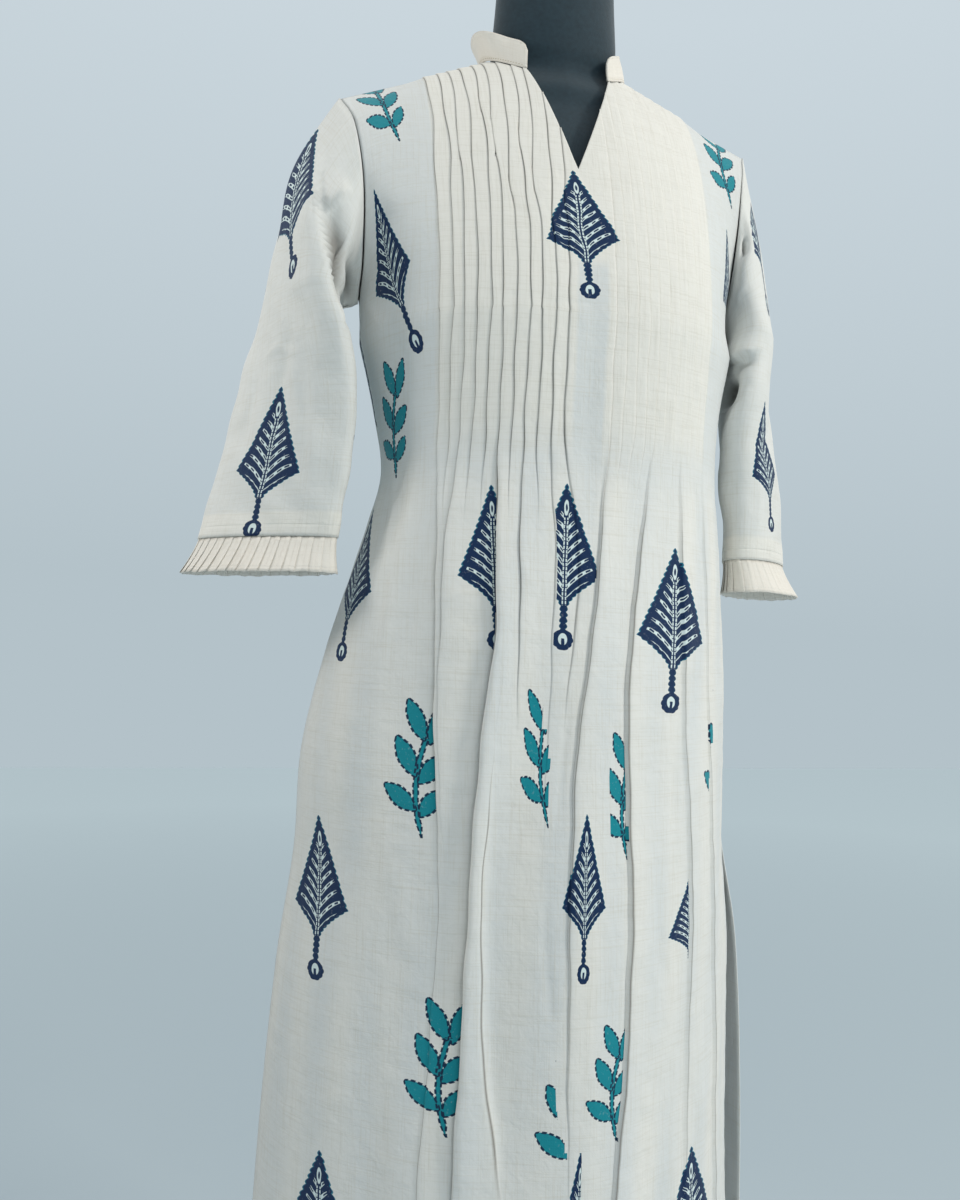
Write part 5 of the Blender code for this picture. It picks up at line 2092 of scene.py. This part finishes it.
FRONT_MOTIFS = (
    # kind, across, foot, lean, scale, stretch; a later print covers an earlier one's block
    Motif(KITE, -0.0018, 1.1261, -5.3, 0.85, 1.20),
    Motif(KITE, -0.2084, 0.8410, 1.5, 0.98, 1.00),
    Motif(KITE, -0.0683, 0.8541, -2.2, 0.96, 0.96, before=-6),
    Motif(KITE, -0.0210, 0.8554, 2.4, 0.97, 1.00, after=-2, before=1),
    Motif(KITE, 0.0728, 0.8093, 3.3, 0.99, 1.36, after=5),
    Motif(KITE, -0.0058, 0.6177, 1.2, 0.91, 0.60),
    Motif(KITE, -0.2155, 0.5974, -3.0, 0.94, 1.20),
    Motif(KITE, 0.1000, 0.6090, 0.0, 0.56, 1.75, before=8, base=0.027),
    Motif(KITE, -0.2030, 0.3540, 0.0, 0.94, 1.25),
    Motif(KITE, 0.1050, 0.3570, -1.0, 0.94, 1.35),
    Motif(KITE, -0.0085, 0.3760, 1.5, 0.98, 0.50, before=((-0.0080, 0.36), (-0.0040, 0.53))),
    Motif(KITE, 0.1690, 1.0980, 5.0, 1.00, 0.75, base=0.062),
    Motif(SPRIG, -0.1660, 1.2680, -12.0, 0.98, 1.05),
    Motif(SPRIG, 0.2040, 1.2560, -14.0, 0.92, 1.40),
    Motif(SPRIG, -0.1640, 0.9912, 0.0, 0.82, 0.95),
    Motif(SPRIG, -0.1239, 0.7147, 2.0, 0.87, 1.00, before=-11),
    Motif(
        *(SPRIG, -0.0310, 0.7270, -3.0, 0.86, 0.56),
        before=((-0.030, 0.72), (-0.030, 0.79), (-0.035, 0.80), (-0.035, 0.85)),
    ),
    Motif(SPRIG, 0.0310, 0.7030, 0.0, 0.80, 0.80, after=((0.0145, 0.70), (0.0160, 0.80)), before=5),
    Motif(SPRIG, 0.1580, 0.7220, 0.0, 0.93, 1.00, before=((0.1320, 0.73), (0.1375, 0.84))),
    Motif(SPRIG, -0.1000, 0.5080, 0.0, 0.81, 1.08, before=-6),
    Motif(
        *(SPRIG, -0.0070, 0.4810, 0.0, 0.80, 1.00),
        before=((-0.0150, 0.50), (-0.0232, 0.53), (-0.0240, 0.562), (-0.08, 0.566)),
    ),
    Motif(SPRIG, 0.0225, 0.5060, 2.0, 0.70, 0.95, before=5),
    Motif(SPRIG, -0.1500, 0.2300, 2.0, 0.95, 1.00),
    Motif(SPRIG, 0.0300, 0.2350, -3.0, 0.95, 1.00),
    Motif(KITE, -0.1350, 1.0858, -27.0, 1.25, 0.61, after=((-0.15, 1.06), (-0.15, 1.104), (-0.3, 1.11))),
)
BACK_MOTIFS = tuple(
    Motif(
        KITE if (row + column) % 2 else SPRIG,
        -0.225 + 0.128 * column + (0.020 if row % 2 else -0.012),
        0.250 + 0.158 * row + 0.012 * (column % 3),
        1.5 * ((row * 2 + column) % 3 - 1),
    )
    for row in range(6)
    for column in range(4)
)
SLEEVE_RIGHT_MOTIFS = (
    Motif(KITE, 0.0374, 1.1499, -24.4, 0.66, 1.60, before=((0.06, 1.18), (0.0511, 1.1954), (0.0201, 1.2199))),
    Motif(KITE, -0.0010, 0.9385, 5.0, 0.98, 1.19),
    Motif(SPRIG, -0.0900, 1.0900, -4.0),
    Motif(SPRIG, 0.1150, 0.9800, 3.0),
)
SLEEVE_LEFT_MOTIFS = (
    Motif(KITE, 0.0345, 0.9676, 10.9, 0.88, 0.93),
    Motif(KITE, 0.0450, 1.1550, 0.0, 0.97, before=((0.0650, 1.1950), (0.0590, 1.2200), (-0.1, 1.2220))),
    Motif(SPRIG, -0.0600, 1.0400, 4.0),
    Motif(KITE, -0.1200, 0.9550, -3.0),
)
FRONT_CREASES = (
    # path of (across, height), width in metres, height in millimetres
    Crease(
        ((-0.127, 1.03), (-0.1387, 0.996), (-0.1524, 0.915), (-0.1609, 0.86), (-0.1695, 0.798)), 0.004, 1.6
    ),
    Crease(((-0.1572, 0.899), (-0.1623, 0.852), (-0.1676, 0.814)), 0.003, 1.2),
    Crease(((-0.1812, 1.026), (-0.1634, 0.973), (-0.1646, 0.923), (-0.1761, 0.875)), 0.004, 1.5),
    Crease(((-0.1417, 1.011), (-0.1577, 0.973), (-0.1749, 0.924)), 0.003, 1.2),
    Crease(((-0.0812, 0.900), (-0.0788, 0.855), (-0.0732, 0.809)), 0.0025, 0.9),
    Crease(((-0.0327, 1.017), (-0.0260, 0.986)), 0.0018, -0.8),
    Crease(((-0.2050, 0.700), (-0.1775, 0.715), (-0.1579, 0.730)), 0.0022, 1.1),
    Crease(((-0.1875, 0.725), (-0.1676, 0.693)), 0.003, 1.2),
    Crease(((-0.1570, 0.732), (-0.1405, 0.668), (-0.1240, 0.605)), 0.006, 1.6),
    Crease(((-0.2300, 0.487), (-0.1875, 0.495), (-0.1365, 0.507), (-0.0987, 0.518)), 0.0016, -0.5),
    Crease(((-0.2100, 0.812), (-0.1600, 0.812), (-0.1175, 0.813)), 0.0014, -0.5),
    Crease(((0.0497, 1.040), (0.0800, 1.046), (0.1160, 1.049)), 0.0014, -0.6),
    Crease(((-0.1150, 1.128), (-0.0200, 1.122), (0.1150, 1.128)), 0.0012, -0.4),
    Crease(((-0.1150, 1.070), (-0.0200, 1.064)), 0.0012, -0.35),
    Crease(((-0.0224, 0.541), (-0.0096, 0.550), (0.0093, 0.554)), 0.0016, -0.5),
    Crease(((0.0306, 0.553), (0.0606, 0.539), (0.0927, 0.524)), 0.0016, -0.5),
    Crease(((-0.0786, 0.834), (-0.0630, 0.839), (-0.0511, 0.832)), 0.0018, 0.8),
    Crease(((-0.0703, 0.818), (-0.0555, 0.826), (-0.0444, 0.819)), 0.0018, 0.7),
    Crease(((-0.0437, 0.964), (-0.0353, 0.967), (-0.0246, 0.963)), 0.0016, 0.7),
    Crease(((-0.0146, 0.820), (-0.0206, 0.776), (-0.0236, 0.726)), 0.003, -0.9),
    Crease(((-0.0329, 0.690), (-0.0316, 0.634), (-0.0266, 0.579)), 0.004, -1.1),
    Crease(((0.1032, 1.006), (0.1171, 0.933), (0.1237, 0.868)), 0.004, -1.2),
    Crease(((0.0833, 0.789), (0.0787, 0.713), (0.0742, 0.647)), 0.005, -1.4),
    Crease(((0.0589, 0.700), (0.0603, 0.649), (0.0678, 0.589)), 0.005, -1.2),
    Crease(((-0.1650, 0.600), (-0.1580, 0.450), (-0.1500, 0.300)), 0.012, -2.4),
    Crease(((-0.1150, 0.480), (-0.1200, 0.360), (-0.1250, 0.240)), 0.010, 2.0),
    Crease(((0.0600, 0.500), (0.0660, 0.380), (0.0700, 0.260)), 0.012, -2.4),
    Crease(((0.1150, 0.600), (0.1200, 0.450), (0.1250, 0.300)), 0.010, 1.8),
    Crease(((-0.2350, 1.190), (-0.2050, 1.170), (-0.1650, 1.150)), 0.005, -1.3),
    Crease(((-0.2300, 1.145), (-0.2000, 1.135), (-0.1700, 1.105)), 0.005, 1.3),
    Crease(((0.2200, 1.190), (0.1900, 1.160), (0.1600, 1.120)), 0.006, -1.6),
)
BACK_CREASES = (
    Crease(((-0.100, 0.960), (-0.120, 0.800), (-0.135, 0.620)), 0.012, -2.5),
    Crease(((0.075, 0.960), (0.090, 0.760), (0.100, 0.560)), 0.012, -2.5),
    Crease(((-0.015, 0.900), (-0.010, 0.700), (0.000, 0.480)), 0.014, -2.0),
    Crease(((0.150, 1.110), (0.090, 1.060), (0.030, 1.040)), 0.008, 1.6),
    Crease(((-0.160, 1.100), (-0.100, 1.050), (-0.040, 1.035)), 0.008, 1.6),
    Crease(((0.120, 1.010), (0.060, 0.990), (0.000, 0.995)), 0.006, -1.3),
    Crease(((-0.200, 0.812), (0.000, 0.815), (0.200, 0.812)), 0.0016, -0.5),
    Crease(((-0.200, 0.505), (0.000, 0.510), (0.200, 0.505)), 0.0016, -0.5),
    Crease(((-0.110, 1.270), (-0.060, 1.250), (0.050, 1.260)), 0.010, 1.2),
)
SLEEVE_RIGHT_CREASES = (
    Crease(
        (
            *((0.0160, 1.2240), (0.0345, 1.2125), (0.0466, 1.2017), (0.0546, 1.1918)),
            *((0.0664, 1.1713), (0.0770, 1.1430), (0.0745, 1.1120), (0.0710, 1.0697)),
        ),
        *(0.022, 10.0, STEP),
    ),
    Crease(((0.0694, 1.2282), (0.0647, 1.2099), (0.0559, 1.1883)), 0.012, 6.0, STEP),
    Crease(((0.056, 1.212), (0.064, 1.193), (0.075, 1.172), (0.085, 1.143), (0.083, 1.105)), 0.011, -14.0),
    Crease(((0.0760, 1.1850), (0.1000, 1.1850), (0.1320, 1.2150), (0.1460, 1.2400)), 0.014, -8.0),
    Crease(((0.0371, 1.1354), (0.0109, 1.0729), (0.0107, 0.9960)), 0.008, -2.2),
    Crease(((0.0518, 1.1073), (0.0464, 1.0355), (0.0539, 0.9538)), 0.007, 2.0),
    Crease(((-0.0300, 1.1400), (-0.0200, 1.0800), (-0.0350, 1.0000)), 0.008, -1.8),
    Crease(((0.0200, 1.1000), (0.0300, 1.0500), (0.0350, 1.0000)), 0.004, 1.2),
    Crease(((-0.0200, 1.0900), (0.0100, 1.1000), (0.0450, 1.0850)), 0.003, 1.0),
    Crease(((-0.0100, 1.0400), (0.0150, 1.0300), (0.0400, 1.0400)), 0.003, -0.8),
)
SLEEVE_LEFT_CREASES = (
    Crease(((0.1200, 1.1240), (0.0900, 1.1170), (0.0660, 1.1240)), 0.018, 7.0, STEP),
    Crease(((0.1300, 1.0960), (0.1000, 1.0900), (0.0820, 1.0880)), 0.009, -14.0),
    Crease(((0.1000, 1.1080), (0.0700, 1.1140)), 0.004, -6.0),
    Crease(((0.0690, 1.2270), (0.0760, 1.2120)), 0.005, -8.0),
    Crease(((0.07, 1.118), (0.079, 1.0792), (0.098, 1.05), (0.102, 1.01), (0.103, 0.945)), 0.018, 4.5, STEP),
    Crease(((0.0560, 1.2400), (0.0660, 1.2220), (0.0760, 1.2080), (0.0860, 1.1950)), 0.012, 3.5, STEP),
    Crease(((0.0950, 1.1800), (0.0690, 1.1980)), 0.005, 2.5),
    Crease(((0.0300, 1.0600), (0.0500, 1.0400), (0.0750, 1.0450)), 0.005, -1.5),
    Crease(((0.0600, 1.0200), (0.0580, 0.9900), (0.0620, 0.9550)), 0.004, 1.0),
)


def main() -> None:
    """Builds the kurta, the form and the studio."""
    front = FrontPanel(
        "front_panel",
        "front",
        PRINTED,
        cut=(0.76, 1.20),
        cut_area=0.62,
        motifs=FRONT_MOTIFS,
        creases=FRONT_CREASES,
        seed=21,
    )
    back = BackPanel(
        "back_panel",
        "back",
        PRINTED,
        cut=(0.56, 1.20),
        cut_area=0.52,
        motifs=BACK_MOTIFS,
        creases=BACK_CREASES,
        facing=Facing.BACK,
        seed=31,
    )
    for panel in (front, back):
        panel.lay_out()
        panel.build()
    hands = (
        (Hand.RIGHT, SLEEVE_RIGHT, SLEEVE_RIGHT_MOTIFS, SLEEVE_RIGHT_CREASES),
        (Hand.LEFT, SLEEVE_LEFT, SLEEVE_LEFT_MOTIFS, SLEEVE_LEFT_CREASES),
    )
    for hand, sections, motifs, creases in hands:
        side = hand.name.lower()
        sleeve = Sleeve(
            f"sleeve_{side}_cloth",
            f"sleeve_{side}",
            PRINTED,
            cut=(0.38, 0.44),
            cut_area=0.128,
            motifs=motifs,
            creases=creases,
            is_ring=True,
            seed=41 + hand.value,
            hand=hand,
            sections=sections,
        )
        sleeve.lay_out(front, back)
        sleeve.build()
        frill = CuffFrill(
            f"frill_{side}_cloth",
            f"frill_{side}",
            PLAIN,
            cut=(0.62, 0.031),
            held="gathered",
            rests_on=(f"sleeve_{side}_cloth",),
            is_ring=True,
            shell=0.00035,
            seed=51 + hand.value,
            hand=hand,
            sections=sections,
        )
        frill.lay_out()
        frill.build()
    collar = StandCollar(
        "collar_band",
        "collar",
        PLAIN,
        cut=(0.34, 0.025),
        held="folded",
        rests_on=("front_panel", "back_panel"),
        shell=0.0016,
    )
    collar.lay_out()
    collar.build()
    DressForm().build()
    Stand().build()
    Studio().build()


if __name__ == "__main__":
    main()
